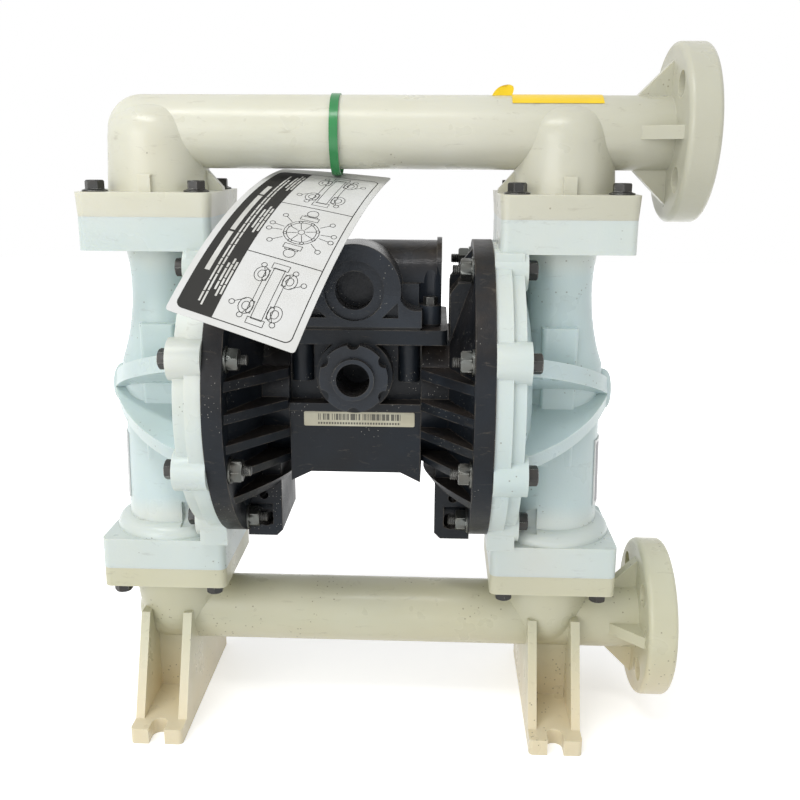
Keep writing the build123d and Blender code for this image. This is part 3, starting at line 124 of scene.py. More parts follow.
def newGroup(name, output, **inputs):
    # a node group with plain number inputs and one output: its tree, its given values and the socket to fill
    tree = bpy.data.node_groups.new(name, "ShaderNodeTree")
    for label, value in inputs.items():
        socket = tree.interface.new_socket(name=label, in_out="INPUT", socket_type="NodeSocketFloat")
        socket.default_value = value
    tree.interface.new_socket(name=output, in_out="OUTPUT", socket_type="NodeSocketFloat")
    given, result = tree.nodes.new("NodeGroupInput"), tree.nodes.new("NodeGroupOutput")
    return tree, given.outputs, result.inputs[output]


def makeMottle():
    # cloudy change of tone inside moulded plastic
    tree, given, result = newGroup("mottle", "Mask", Scale=14.0)
    cloud = noise(tree, given["Scale"], Detail=3.0, Roughness=0.55)
    tree.links.new(rangeOf(tree, cloud, low=0.28, high=0.74), result)
    return tree


def makeSpecks():
    # small scattered specks of dirt, dense in some patches and absent in others
    tree, given, result = newGroup("specks", "Mask", Scale=160.0, Size=0.16, Cover=0.5)
    point = objectPoint(tree)
    cells = addNode(tree, "ShaderNodeTexVoronoi", Vector=point, Scale=given["Scale"], Randomness=1.0)
    dot = mathNode(tree, "LESS_THAN", cells.outputs["Distance"], given["Size"])
    patch = mathNode(tree, "GREATER_THAN", noise(tree, 22.0, Detail=2.0), given["Cover"])
    tree.links.new(mathNode(tree, "MULTIPLY", dot, patch), result)
    return tree


def makeEdgeWear():
    # worn edges: where a bevelled normal leaves the true one, broken up by noise
    tree, given, result = newGroup("edgeWear", "Mask", Width=0.0012, Breakup=60.0)
    bevel = addNode(tree, "ShaderNodeBevel", samples=4, Radius=given["Width"])
    agreement = addNode(tree, "ShaderNodeVectorMath", operation="DOT_PRODUCT")
    tree.links.new(bevel.outputs[0], agreement.inputs[0])
    tree.links.new(tree.nodes.new("ShaderNodeNewGeometry").outputs["Normal"], agreement.inputs[1])
    edge = rangeOf(tree, agreement.outputs["Value"], low=0.985, high=0.80)
    broken = rangeOf(tree, noise(tree, given["Breakup"], Detail=4.0, Roughness=0.7), low=0.42, high=0.60)
    tree.links.new(mathNode(tree, "MULTIPLY", edge, broken), result)
    return tree


def makeGrime():
    # faint scratches and smears: noise squeezed in height and cut to thin bands
    tree, given, result = newGroup("grime", "Mask", Scale=55.0)
    squeezed = addNode(tree, "ShaderNodeMapping", Vector=objectPoint(tree), Scale=(1.0, 1.0, 3.5))
    smear = addNode(
        tree, "ShaderNodeTexNoise", Vector=squeezed.outputs[0], Scale=given["Scale"],
        Detail=5.0, Roughness=0.72, Distortion=0.6,
    )
    tree.links.new(rangeOf(tree, smear.outputs[0], low=0.60, high=0.78), result)
    return tree


def makeTopDust():
    # dust that settles on what faces up
    tree, given, result = newGroup("topDust", "Mask", Scale=45.0)
    normal = tree.nodes.new("ShaderNodeNewGeometry").outputs["Normal"]
    split = addNode(tree, "ShaderNodeSeparateXYZ", Vector=normal)
    facingUp = rangeOf(tree, split.outputs["Z"], low=0.05, high=0.75)
    cloud = noise(tree, given["Scale"], Detail=4.0, Roughness=0.65)
    patch = rangeOf(tree, cloud, low=0.30, high=0.62, toLow=0.25)
    tree.links.new(mathNode(tree, "MULTIPLY", facingUp, patch), result)
    return tree


def makeSkin():
    # height of a moulded skin: slow waviness and a fine grain
    tree, given, result = newGroup("skin", "Height", Wave=40.0, Grain=900.0, GrainShare=0.2)
    wave = noise(tree, given["Wave"], Detail=2.0)
    grain = mathNode(tree, "MULTIPLY", noise(tree, given["Grain"], Detail=2.0), given["GrainShare"])
    tree.links.new(mathNode(tree, "ADD", wave, grain), result)
    return tree


mottle, specks, edgeWear = makeMottle(), makeSpecks(), makeEdgeWear()
grime, topDust, skin = makeGrime(), makeTopDust(), makeSkin()
print("surface groups made")


def maskOf(tree, group, **values):
    node = tree.nodes.new("ShaderNodeGroup")
    node.node_tree = group
    for name, value in values.items():
        node.inputs[name].default_value = value
    return node.outputs[0]


def srgb(red, green, blue):
    # screen colour from 0 to 255, turned to the linear values a shader takes
    values = np.array([red, green, blue]) / 255
    linear = np.where(values <= 0.04045, values / 12.92, ((values + 0.055) / 1.055) ** 2.4)
    return (*linear, 1.0)


def layOver(tree, body, color, group, share, **values):
    # a colour laid over the body where the group's mask shows, at most by share
    mask = mathNode(tree, "MULTIPLY", maskOf(tree, group, **values), share)
    return mixColors(tree, mask, body, srgb(*color))


def newMaterial(name, **values):
    # values go to the shader's sockets, with an underscore for a space
    material = bpy.data.materials.new(name)
    material.use_nodes = True
    shader = material.node_tree.nodes["Principled BSDF"]
    for label, value in values.items():
        shader.inputs[label.replace("_", " ")].default_value = value
    return material, material.node_tree, shader


def addSkin(tree, shader, strength, depth, **values):
    height = maskOf(tree, skin, **values)
    bump = addNode(tree, "ShaderNodeBump", Strength=strength, Distance=depth, Height=height)
    tree.links.new(bump.outputs[0], shader.inputs["Normal"])


# Zones in metres: thickZone out from the shaft's axis, low up from the floor, and along X the span in which
# the outlet plastic is darkened to the right as painted shade. A higher cover leaves fewer patches with
# specks.
naturalPlastics = {
    "outletPlastic": {
        "light": (212, 215, 204), "dark": (196, 196, 176), "thick": (216, 211, 192), "dirt": (112, 98, 70),
        "cover": 0.60, "glow": 0.25, "thickZone": None, "low": None, "darkened": (0.02, 0.185),
    },
    "coverPlastic": {
        "light": (192, 211, 214), "dark": (184, 201, 199), "thick": (216, 214, 202), "dirt": (96, 88, 72),
        "cover": 0.58, "glow": 0.25, "thickZone": (0.079, 0.090), "low": None, "darkened": None,
    },
    "inletPlastic": {
        "light": (198, 200, 181), "dark": (186, 184, 156), "thick": (204, 198, 168), "dirt": (92, 78, 52),
        # low: the foot tone laid on towards the floor is partly painted light on the shaded feet
        "cover": 0.55, "glow": 0.22, "thickZone": None, "low": (0.070, 0.015), "darkened": None,
    },
}
# the flange tone is painted shade on the right-hand side of the outlet plastic
naturalTones = {"foot": (226, 213, 182), "flange": (181, 180, 162), "rubbed": (228, 224, 210)}
naturalRough = (0.24, 0.42)


def naturalPlastic(name, light, dark, thick, dirt, cover, glow, thickZone, low, darkened):
    # undyed moulded plastic: milky, cloudy and a little dirty
    material, tree, shader = newMaterial(
        name, Subsurface_Weight=glow, Subsurface_Radius=(1.0, 0.9, 0.6), Subsurface_Scale=0.005,
    )
    across, depth, height = pointParts(tree)
    body = mixColors(tree, maskOf(tree, mottle, Scale=11.0), srgb(*light), srgb(*dark))
    share = 0.7
    if thickZone:  # creamier where the wall is thick, round the bolt circle
        fromShaft = lengthOf(tree, depth, mathNode(tree, "SUBTRACT", height, shaftHeight))
        share = rangeOf(tree, fromShaft, *thickZone, toLow=0.15, toHigh=0.75)
    body = layOver(tree, body, thick, mottle, share, Scale=7.0)
    if low:  # yellower and lighter towards the floor: partly the plastic's own tone, partly painted light on the shaded feet
        body = mixColors(tree, rangeOf(tree, height, *low, toHigh=0.85), body, srgb(*naturalTones["foot"]))
    if darkened:  # painted shade: greyer and darker towards the right-hand flange
        body = mixColors(tree, rangeOf(tree, across, *darkened, toHigh=0.8), body, srgb(*naturalTones["flange"]))
    body = layOver(tree, body, naturalTones["rubbed"], edgeWear, share=0.35, Width=0.0010, Breakup=90.0)
    body = layOver(tree, body, dirt, grime, share=0.32)
    body = layOver(tree, body, dirt, specks, share=0.5, Scale=260.0, Size=0.15, Cover=cover)
    tree.links.new(body, shader.inputs["Base Color"])
    smear = maskOf(tree, mottle, Scale=35.0)
    tree.links.new(rangeOf(tree, smear, 0.0, 1.0, *naturalRough), shader.inputs["Roughness"])
    addSkin(tree, shader, strength=0.22, depth=0.0016, Wave=38.0, Grain=700.0)
    return material


materials = {name: naturalPlastic(name, **look) for name, look in naturalPlastics.items()}

# the second tone of each black is a painted bluish sheen, mixed in by clouds
blackPlastics = {
    "blackPlastic": {
        "base": (12, 15, 19), "paintedSheen": (27, 33, 40), "worn": (104, 96, 84), "dust": (52, 45, 39),
        "rough": (0.30, 0.52),
    },
    "valvePlastic": {
        "base": (24, 27, 32), "paintedSheen": (46, 52, 60), "worn": (92, 88, 80), "dust": (58, 52, 46),
        "rough": (0.17, 0.36),
    },
}
gritTone = (170, 168, 160)


def blackPlastic(name, base, paintedSheen, worn, dust, rough):
    # glass filled black plastic with dust on top, pale specks, worn rims and clouds of painted bluish sheen
    material, tree, shader = newMaterial(name, Specular_IOR_Level=0.22)
    cloud = maskOf(tree, mottle, Scale=26.0)
    # clouds of painted bluish sheen over the black base
    body = mixColors(tree, cloud, srgb(*base), srgb(*paintedSheen))
    body = layOver(tree, body, dust, topDust, share=0.8)
    body = layOver(tree, body, worn, grime, share=0.45, Scale=80.0)
    body = layOver(tree, body, worn, edgeWear, share=0.8, Width=0.0012, Breakup=70.0)
    body = layOver(tree, body, gritTone, specks, share=0.6, Scale=460.0, Size=0.13, Cover=0.56)
    tree.links.new(body, shader.inputs["Base Color"])
    tree.links.new(rangeOf(tree, cloud, 0.0, 1.0, *rough), shader.inputs["Roughness"])
    addSkin(tree, shader, strength=0.3, depth=0.0015, Wave=90.0, Grain=1400.0)
    return material


materials.update({name: blackPlastic(name, **look) for name, look in blackPlastics.items()})

metals = {
    "darkScrew": {
        "base": (58, 60, 60), "rust": (74, 64, 56), "rustShare": 0.4,
        "metallic": 0.6, "rough": (0.30, 0.5),
    },
    "nutSteel": {
        "base": (98, 102, 100), "rust": (80, 72, 62), "rustShare": 0.6,
        "metallic": 0.85, "rough": (0.24, 0.42),
    },
    "plainSteel": {
        "base": (190, 190, 188), "rust": (160, 156, 150), "rustShare": 0.4,
        "metallic": 1.0, "rough": (0.18, 0.3),
    },
    "aluminium": {
        "base": (200, 200, 200), "rust": (180, 180, 178), "rustShare": 0.4,
        "metallic": 1.0, "rough": (0.28, 0.42),
    },
}
bareMetalTone = (205, 205, 198)


def usedMetal(name, base, rust, rustShare, metallic, rough):
    # fastener and shaft metal with dull patches
    material, tree, shader = newMaterial(name, Metallic=metallic)
    patch = maskOf(tree, mottle, Scale=120.0)
    body = mixColors(tree, mathNode(tree, "MULTIPLY", patch, rustShare), srgb(*base), srgb(*rust))
    body = layOver(tree, body, bareMetalTone, edgeWear, share=0.8, Width=0.0006, Breakup=160.0)
    tree.links.new(body, shader.inputs["Base Color"])
    tree.links.new(rangeOf(tree, patch, 0.0, 1.0, *rough), shader.inputs["Roughness"])
    addSkin(tree, shader, strength=0.2, depth=0.0006, Wave=240.0, Grain=1800.0)
    return material


materials.update({name: usedMetal(name, **look) for name, look in metals.items()})

simplePlastics = {
    "sealRubber": {"light": (34, 34, 34), "dark": (24, 24, 24), "rough": 0.75},
    "diaphragmRubber": {"light": (78, 76, 70), "dark": (62, 60, 56), "rough": 0.7},
    "seatPlastic": {"light": (230, 230, 224), "dark": (216, 214, 206), "rough": 0.4},
    "ballPlastic": {"light": (236, 234, 228), "dark": (226, 222, 212), "rough": 0.3},
    "bearingPlastic": {"light": (176, 160, 132), "dark": (160, 144, 116), "rough": 0.5},
    "strapPlastic": {"light": (52, 138, 78), "dark": (34, 116, 62), "rough": 0.25},
    "stickerFilm": {"light": (243, 208, 14), "dark": (228, 192, 10), "rough": 0.35},
    "tagCard": {"light": (212, 213, 212), "dark": (203, 203, 199), "rough": 0.6},
    "tagInk": {"light": (24, 23, 21), "dark": (33, 32, 28), "rough": 0.75},
    "tagPale": {"light": (212, 212, 208), "dark": (176, 175, 168), "rough": 0.6},
}
smoothSkin = {"strength": 0.15, "depth": 0.001, "Wave": 80.0, "Grain": 900.0}


def simplePlastic(name, light, dark, rough):
    material, tree, shader = newMaterial(name, Roughness=rough)
    cloud = maskOf(tree, mottle, Scale=45.0)
    tree.links.new(mixColors(tree, cloud, srgb(*light), srgb(*dark)), shader.inputs["Base Color"])
    addSkin(tree, shader, **smoothSkin)
    return material


materials.update({name: simplePlastic(name, **look) for name, look in simplePlastics.items()})

labelLook = {
    "paper": (196, 193, 172), "darkened": (176, 170, 146), "ink": (40, 38, 34), "inkShare": 0.85, "rough": 0.4,
    "barStep": 0.00052, "barShare": 0.56, "barRow": (0.0040, 0.0082),
    "barsPerDash": 3.4, "dashGap": 0.35, "dashRow": (0.0012, 0.0026), "margin": 0.009,
}


def labelFilm(paper, darkened, ink, inkShare, rough, barStep, barShare, barRow, barsPerDash, dashGap, dashRow,
              margin):
    # plain bars over one row of short dashes, both rows counted from the label's lower edge
    material, tree, shader = newMaterial("labelFilm", Roughness=rough)
    low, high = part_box("center_label")
    across, height = pointParts(tree, "XZ")
    rise = mathNode(tree, "SUBTRACT", height, low[2])
    chance = addNode(tree, "ShaderNodeTexWhiteNoise", noise_dimensions="1D")
    tree.links.new(mathNode(tree, "FLOOR", mathNode(tree, "DIVIDE", across, barStep)), chance.inputs["W"])
    bar = mathNode(tree, "LESS_THAN", chance.outputs["Value"], barShare)
    dashPlace = mathNode(tree, "FRACT", mathNode(tree, "DIVIDE", across, barsPerDash * barStep))
    dash = mathNode(tree, "GREATER_THAN", dashPlace, dashGap)
    bars = mathNode(tree, "MULTIPLY", bar, insideRange(tree, rise, *barRow))
    dashes = mathNode(tree, "MULTIPLY", dash, insideRange(tree, rise, *dashRow))
    span = insideRange(tree, across, low[0] + margin, high[0] - margin)
    marks = mathNode(tree, "MULTIPLY", mathNode(tree, "ADD", bars, dashes), span)
    ground = mixColors(tree, maskOf(tree, mottle, Scale=60.0), srgb(*paper), srgb(*darkened))
    inked = mixColors(tree, mathNode(tree, "MULTIPLY", marks, inkShare), ground, srgb(*ink))
    tree.links.new(inked, shader.inputs["Base Color"])
    addSkin(tree, shader, **smoothSkin)
    return material


badgeLook = {
    "rim": (206, 208, 206), "field": (38, 33, 48), "worn": (62, 56, 72), "rough": 0.28, "corner": 0.004,
    "border": 0.0016,
}


def badgeFilm(rim, field, worn, rough, corner, border):
    # dark field in a pale rounded border: distance past the corner centres, along Y and Z
    material, tree, shader = newMaterial("badgeFilm", Roughness=rough)
    low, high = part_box("badge_right")
    middle, halfHeight, halfWidth = (low[2] + high[2]) / 2, (high[2] - low[2]) / 2, (high[1] - low[1]) / 2
    sideways, height = pointParts(tree, "YZ")
    fromMiddle = mathNode(tree, "SUBTRACT", height, middle)
    past = []
    for part, half in ((sideways, halfWidth), (fromMiddle, halfHeight)):
        beyond = mathNode(tree, "SUBTRACT", mathNode(tree, "ABSOLUTE", part), half - corner)
        past.append(mathNode(tree, "MAXIMUM", beyond, 0.0))
    edge = mathNode(tree, "GREATER_THAN", lengthOf(tree, *past), corner - border)
    dark = mixColors(tree, maskOf(tree, grime, Scale=120.0), srgb(*field), srgb(*worn))
    tree.links.new(mixColors(tree, edge, dark, srgb(*rim)), shader.inputs["Base Color"])
    addSkin(tree, shader, **smoothSkin)
    return material


materials["labelFilm"] = labelFilm(**labelLook)
materials["badgeFilm"] = badgeFilm(**badgeLook)
print("materials made:", len(materials))


def bothSides(*names):
    return [name + side for name in names for side in ("_left", "_right")]


nodeFinishes = {
    "outletPlastic": ["outlet_manifold"],
    "inletPlastic": ["inlet_manifold"],
    "coverPlastic": bothSides("fluid_cover"),
    "blackPlastic": ["center_body", *bothSides("air_cover")],
    "valvePlastic": ["air_inlet_bushing", "air_valve_housing", *bothSides("valve_end_cap")],
    "darkScrew": [
        "air_valve_screws", "outlet_manifold_screws", "inlet_manifold_screws", *bothSides("cover_bolts"),
    ],
    "nutSteel": bothSides("cover_nuts"),
    "plainSteel": ["valve_retaining_rings", "diaphragm_shaft", "shaft_bolts", *bothSides("pilot_pin")],
    "aluminium": ["valve_spool", *bothSides("air_side_plate")],
    "sealRubber": ["air_valve_gasket", "valve_spool_seals", "shaft_seals", "port_seals"],
    "diaphragmRubber": bothSides("diaphragm"),
    "seatPlastic": bothSides("outlet_seat", "inlet_seat", "fluid_side_plate"),
    "ballPlastic": bothSides("outlet_ball", "inlet_ball"),
    "bearingPlastic": ["pilot_bushings", *bothSides("shaft_bearing")],
    "strapPlastic": ["strap"],
    "stickerFilm": ["pipe_sticker"],
    "labelFilm": ["center_label"],
    "badgeFilm": bothSides("badge"),
    "tagCard": ["paper_tag"],
}
for finish, names in nodeFinishes.items():
    for name in names:
        for slot in nodes[name].material_slots:
            slot.material = materials[finish]
print("finishes given")


def meshPiece(name, points, faces, finish, body="pump", sharpAngle=35.0, closed=True):
    mesh = bpy.data.meshes.new(name)
    mesh.from_pydata(points.reshape(-1, 3).tolist(), [], faces)
    if closed:
        shell = bmesh.new()
        shell.from_mesh(mesh)
        bmesh.ops.recalc_face_normals(shell, faces=shell.faces)
        shell.to_mesh(mesh)
        shell.free()
    mesh.materials.append(materials[finish])
    mesh.shade_smooth()
    mesh.set_sharp_from_angle(angle=radians(sharpAngle))
    piece = bpy.data.objects.new(name, mesh)
    bpy.context.collection.objects.link(piece)
    if body:
        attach(piece, body)
    return piece


def gridFaces(rows, columns, closed=False, start=0):
    # quads of a grid whose rows follow each other in the point list; closed joins last column to first
    spans = columns if closed else columns - 1
    row, column = np.meshgrid(np.arange(rows - 1), np.arange(spans), indexing="ij")
    here, following = row * columns, (column + 1) % columns
    quads = [here + column, here + following, here + columns + following, here + columns + column]
    return (np.stack(quads, axis=-1).reshape(-1, 4) + start).tolist()


def shellFaces(rows, columns):
    # a tube of rows whose loop runs out over one face and back under it, with both ends closed across
    faces = gridFaces(rows, columns, closed=True)
    last = (rows - 1) * columns
    for index in range(columns // 2 - 1):
        across = columns - 1 - index
        faces.append([index, across, across - 1, index + 1])
        faces.append([last + index, last + index + 1, last + across - 1, last + across])
    return faces


thread = {"pitch": 0.00125, "rowStep": 0.00031}


def turned(rows, around=48):
    # Rows give height, round radius, width over flats or 0, and thread depth. A point's radius is the smaller
    # of the round one and the hexagon's, flats / 2 / cos(angle from the nearest flat), less the depth times a
    # triangle wave of height / pitch - angle / full turn, which is a helix.
    height, radius, flats, depth = np.array(rows, dtype=float).T[:, :, None]
    angle = np.arange(around)[None, :] * 2 * pi / around
    fromFlat = (angle + pi / 6) % (pi / 3) - pi / 6
    size = np.where(flats > 0, np.minimum(radius, flats / 2 / np.cos(fromFlat)), radius + 0 * angle)
    wave = np.abs(2 * ((height / thread["pitch"] - angle / (2 * pi)) % 1.0) - 1)
    size = size - depth * wave
    points = np.stack([size * np.cos(angle), size * np.sin(angle), height + 0 * angle], axis=-1)
    count = len(rows)
    faces = gridFaces(count, around, closed=True)
    faces += [list(range(around))[::-1], list(range((count - 1) * around, count * around))]
    return points.reshape(-1, 3), faces


def threadRows(start, end, radius, depth):
    heights = np.linspace(start, end, max(3, int(abs(end - start) / thread["rowStep"])))
    return [(height, radius, 0, depth) for height in heights]


def placedCopies(shape, places):
    # copies of one turned shape: along is the unit vector of its height, X or Z, and turn a spin about it
    points, faces = shape
    side = np.array((0.0, 1.0, 0.0))
    allPoints, allFaces = [], []
    for index, (place, along, turn) in enumerate(places):
        axis = np.array(along, dtype=float)
        right = side * cos(turn) + np.cross(axis, side) * sin(turn)
        allPoints.append(points @ np.stack([right, np.cross(axis, right), axis]) + np.array(place))
        allFaces += [[corner + index * len(points) for corner in face] for face in faces]
    return np.concatenate(allPoints), allFaces


def dressScrews(name, suffix, shape, places, finish):
    piece = meshPiece(name + suffix, *placedCopies(shape, places), finish)
    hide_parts(name)


portScrews = {
    "flats": 0.0105, "headHeight": 0.007, "flangeRadius": 0.008, "flangeHeight": 0.0014, "shank": 0.003,
    "reach": 0.031, "plain": 0.012, "threadDepth": 0.00035,
    "outletSeat": 0.367, "inletSeat": 0.1032, "centers": 0.1315, "spread": 0.032, "seed": 3,
}


def portScrewShape(flats, headHeight, flangeRadius, flangeHeight, shank, reach, plain, threadDepth):
    corner, half, top = flats / 2 / cos(pi / 6), flats / 2, headHeight
    return turned([
        (-reach, shank * 0.75, 0, 0), (-reach + 0.0012, shank, 0, 0),  # tip
        *threadRows(-reach + 0.0014, -plain, shank, threadDepth),
        (-plain + 0.001, shank, 0, 0), (0, shank, 0, 0),
        (0, flangeRadius - 0.0003, 0, 0), (0.0003, flangeRadius, 0, 0),  # flange
        (flangeHeight - 0.0005, flangeRadius, 0, 0), (flangeHeight, half + 0.0012, 0, 0),
        (flangeHeight + 0.0004, corner, flats, 0), (top - 0.0010, corner, flats, 0),  # hexagon
        (top - 0.0006, corner - 0.00025, flats, 0), (top - 0.0001, half, flats, 0),
        (top, half - 0.0004, 0, 0), (top, half - 0.0016, 0, 0),  # rim round the dished top
        (top - 0.0004, half - 0.0020, 0, 0), (top - 0.0004, 0.0002, 0, 0),
    ])


def makePortScrews(outletSeat, inletSeat, centers, spread, seed, **sizes):
    shape = portScrewShape(**sizes)
    dice = np.random.default_rng(seed)
    for port, seat, up in (("outlet", outletSeat, 1), ("inlet", inletSeat, -1)):
        places = [
            ((side * centers + dx * spread, dy * spread, seat), (0, 0, up), dice.uniform(0, pi / 3))
            for side in (-1, 1) for dx in (-1, 1) for dy in (-1, 1)
        ]
        dressScrews(port + "_manifold_screws", "_heads", shape, places, "darkScrew")


makePortScrews(**portScrews)
print("port screws made")

coverBolts = {
    "radius": 0.0032, "headFace": 0.1072, "headHeight": 0.0066, "headFlats": 0.0111, "threadDepth": 0.0004,
}
coverNuts = {"washer": 0.0014, "washerRadius": 0.0082, "nutFlats": 0.0127, "nutTop": 0.0656}
coverRing = {"circle": 0.0905, "nutSeat": 0.074, "studEnd": 0.0606, "count": 8, "seed": 5}


def coverBoltShape(radius, headFace, headHeight, headFlats, threadDepth, nutSeat, studEnd):
    corner, half, top = headFlats / 2 / cos(pi / 6), headFlats / 2, headHeight
    tip = studEnd - headFace
    return turned([
        (tip, radius * 0.8, 0, 0), (tip + 0.0006, radius, 0, 0),  # stud
        *threadRows(tip + 0.0007, nutSeat - headFace, radius, threadDepth), (0, radius, 0, 0),
        (0, half + 0.0002, 0, 0), (0.0003, corner, headFlats, 0),  # hexagon
        (top - 0.0010, corner, headFlats, 0), (top - 0.0004, half + 0.0002, headFlats, 0),
        (top, half - 0.0006, 0, 0), (top, 0.0002, 0, 0),
    ])


def coverNutShape(radius, nutSeat, washer, washerRadius, nutFlats, nutTop):
    corner, half, top = nutFlats / 2 / cos(pi / 6), nutFlats / 2, nutSeat - nutTop
    return turned([
        (0, radius, 0, 0), (0, washerRadius - 0.0002, 0, 0), (0.0002, washerRadius, 0, 0),  # washer
        (washer - 0.0002, washerRadius, 0, 0), (washer, washerRadius - 0.0002, 0, 0),
        (washer, half + 0.0001, 0, 0), (washer + 0.0006, corner, nutFlats, 0),  # hexagon
        (top - 0.0009, corner, nutFlats, 0), (top - 0.0001, half + 0.0001, nutFlats, 0),
        (top, half - 0.0003, 0, 0), (top, radius + 0.0004, 0, 0),  # bore
        (top - 0.0005, radius, 0, 0), (0.0001, radius, 0, 0),
    ])


def makeCoverBolts(circle, nutSeat, studEnd, count, seed):
    boltShape = coverBoltShape(nutSeat=nutSeat, studEnd=studEnd, **coverBolts)
    nutShape = coverNutShape(coverBolts["radius"], nutSeat, **coverNuts)
    angles = [radians((index + 0.5) * 360 / count) for index in range(count)]
    spots = [(circle * cos(angle), shaftHeight + circle * sin(angle)) for angle in angles]
    dice = np.random.default_rng(seed)
    headFace = coverBolts["headFace"]
    for side, label in ((-1, "left"), (1, "right")):
        heads = [((side * headFace, y, z), (side, 0, 0), dice.uniform(0, pi / 3)) for y, z in spots]
        nuts = [((side * nutSeat, y, z), (-side, 0, 0), dice.uniform(0, pi / 3)) for y, z in spots]
        dressScrews("cover_bolts_" + label, "_turned", boltShape, heads, "darkScrew")
        dressScrews("cover_nuts_" + label, "_turned", nutShape, nuts, "nutSteel")


makeCoverBolts(**coverRing)
print("cover bolts and nuts made")

diaphragms = {
    "hole": 0.00505, "rollStart": 0.043, "rollEnd": 0.072, "rollHeight": 0.008, "edge": 0.080,
    "thickness": 0.004, "sectors": 8,
}


def diaphragmLoop(face, hole, rollStart, rollEnd, rollHeight, edge, thickness):
    # Section of the disc as one loop, out over its fluid face and back over its air face. The roll's rise at
    # radius r is sqrt(R^2 - (r - middle)^2) - (R - height).
    middle, half = (rollStart + rollEnd) / 2, (rollEnd - rollStart) / 2
    bend = (half ** 2 + rollHeight ** 2) / (2 * rollHeight)
    roll = np.linspace(rollStart, rollEnd, 31)
    radius = np.concatenate([np.linspace(hole, rollStart, 10)[:-1], roll, np.linspace(rollEnd, edge, 6)[1:]])
    rise = np.sqrt(np.maximum(bend ** 2 - (radius - middle) ** 2, 0)) - (bend - rollHeight)
    rise = np.where(np.abs(radius - middle) < half, rise, 0)
    reach = np.concatenate([face + thickness + rise, (face + rise)[::-1]])
    return np.concatenate([radius, radius[::-1]]), reach


def makeDiaphragms(sectors, **sizes):
    # Turned disc in equal sectors, one piece each. In the pump the plates carry the middle with the rod and
    # the covers hold the rim.
    for side, label in ((-1, "left"), (1, "right")):
        low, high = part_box("diaphragm_" + label)
        face = min(abs(low[0]), abs(high[0]))
        radius, reach = diaphragmLoop(face, **sizes)
        for index in range(sectors):
            turn = 2 * pi * index / sectors
            angle = turn + np.linspace(-pi / sectors, pi / sectors, 13)[:, None]
            y, z = radius * np.cos(angle), shaftHeight + radius * np.sin(angle)
            points = np.stack([side * reach + 0 * angle, y, z], axis=-1)
            name = "diaphragm_%s_sector_%d" % (label, index)
            piece = meshPiece(name, points, shellFaces(*points.shape[:2]), "diaphragmRubber", body=None)
            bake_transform(piece)
            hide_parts("diaphragm_" + label)


makeDiaphragms(**diaphragms)
print("diaphragms made")

tagLook = {
    "width": 0.076, "length": 0.168, "thickness": 0.0005, "round": 0.0022, "bend": 0.204,
    "corner": (-0.0982, -0.1185), "cornerDrop": 0.097, "cornerAngle": 50.7, "turn": 21.3, "yaw": 6.7,
    "margin": 0.0042, "topMargin": 0.0125, "printRound": 0.004, "bandShare": 0.32,
    "line": 0.0006, "fineLine": 0.0004, "lineLift": 0.00006, "bandLift": 0.00008, "ruleLift": 0.00014,
}


def cardPoints(across, along, lift, look):
    # Card: a strip of a cylinder of radius bend, its axis level at yaw, the strip turned on it. With climb =
    # along cos(turn) - across sin(turn), the point lies at angle cornerAngle - climb / bend from the top, and
    # bend + lift from the axis.
    turn, start, yaw = radians(look["turn"]), radians(look["cornerAngle"]), radians(look["yaw"])
    climb = along * cos(turn) - across * sin(turn)
    angle = start - climb / look["bend"]
    reach = look["bend"] + lift
    level = across * cos(turn) + along * sin(turn)
    back = look["bend"] * sin(start) - reach * np.sin(angle)
    x = look["corner"][0] + level * cos(yaw) - back * sin(yaw)
    y = look["corner"][1] + level * sin(yaw) + back * cos(yaw)
    z = outletHeight - look["cornerDrop"] - look["bend"] * cos(start) + reach * np.cos(angle)
    return np.stack([x, y, z], axis=-1)


def roundedRows(low, high, bend, steps=60):
    # heights with rows packed into the round corners, and how far each row's ends are drawn in:
    # bend - sqrt(bend^2 - gap^2), where gap is how far the row lies past the corner's centre
    packed = bend * (1 - np.cos(np.linspace(0, pi / 2, 7)))
    even = np.linspace(low + bend, high - bend, steps)
    rows = np.concatenate([low + packed, even[1:-1], (high - packed)[::-1]])
    gap = np.clip(bend - np.minimum(rows - low, high - rows), 0, bend)
    return rows, bend - np.sqrt(np.maximum(bend ** 2 - gap ** 2, 0))


def makeCard(look):
    rows, drawn = roundedRows(0, look["length"], look["round"])
    drawn, share = drawn[:, None], np.linspace(0, 1, 26)[None, :]
    across = drawn + share * (look["width"] - 2 * drawn)
    along = rows[:, None] + 0 * across
    half = look["thickness"] / 2
    top, under = cardPoints(across, along, half, look), cardPoints(across, along, -half, look)
    points = np.concatenate([top, under[:, ::-1]], axis=1)
    card = meshPiece("tag_card", points, shellFaces(*points.shape[:2]), "tagCard", sharpAngle=50)
    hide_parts("paper_tag")


def strokes(paths, lift, look, cut=0.003):
    # ribbons on the card: each path is its points (across, along) and its line width, and every run is cut
    # into lengths so that it follows the bend
    allPoints, allFaces, count = [], [], 0
    for path, width in paths:
        for first, second in zip(path[:-1], path[1:]):
            run = np.linalg.norm(second - first)
            unit = (second - first) / run
            side = np.array([-unit[1], unit[0]]) * width / 2
            over = width / 2 / run  # square ends
            steps = max(2, int(run / cut) + 1)
            line = first + (second - first) * np.linspace(-over, 1 + over, steps)[:, None]
            both = np.stack([line - side, line + side], axis=1)
            allPoints.append(cardPoints(both[..., 0], both[..., 1], lift, look).reshape(-1, 3))
            allFaces += gridFaces(steps, 2, start=count)
            count += 2 * steps
    return np.concatenate(allPoints), [face[::-1] for face in allFaces]


def ringPath(center, radius, count=28, stretch=1.0):
    # a circle, or with stretch an oval that is longer along the card
    angle = np.linspace(0, 2 * pi, count + 1)
    across, along = center[0] + radius * np.cos(angle), center[1] + stretch * radius * np.sin(angle)
    return np.stack([across, along], axis=-1)


def boxPath(center, width, height):
    return np.array([(-1, -1), (1, -1), (1, 1), (-1, 1), (-1, -1)]) * np.array([width, height]) / 2 + center


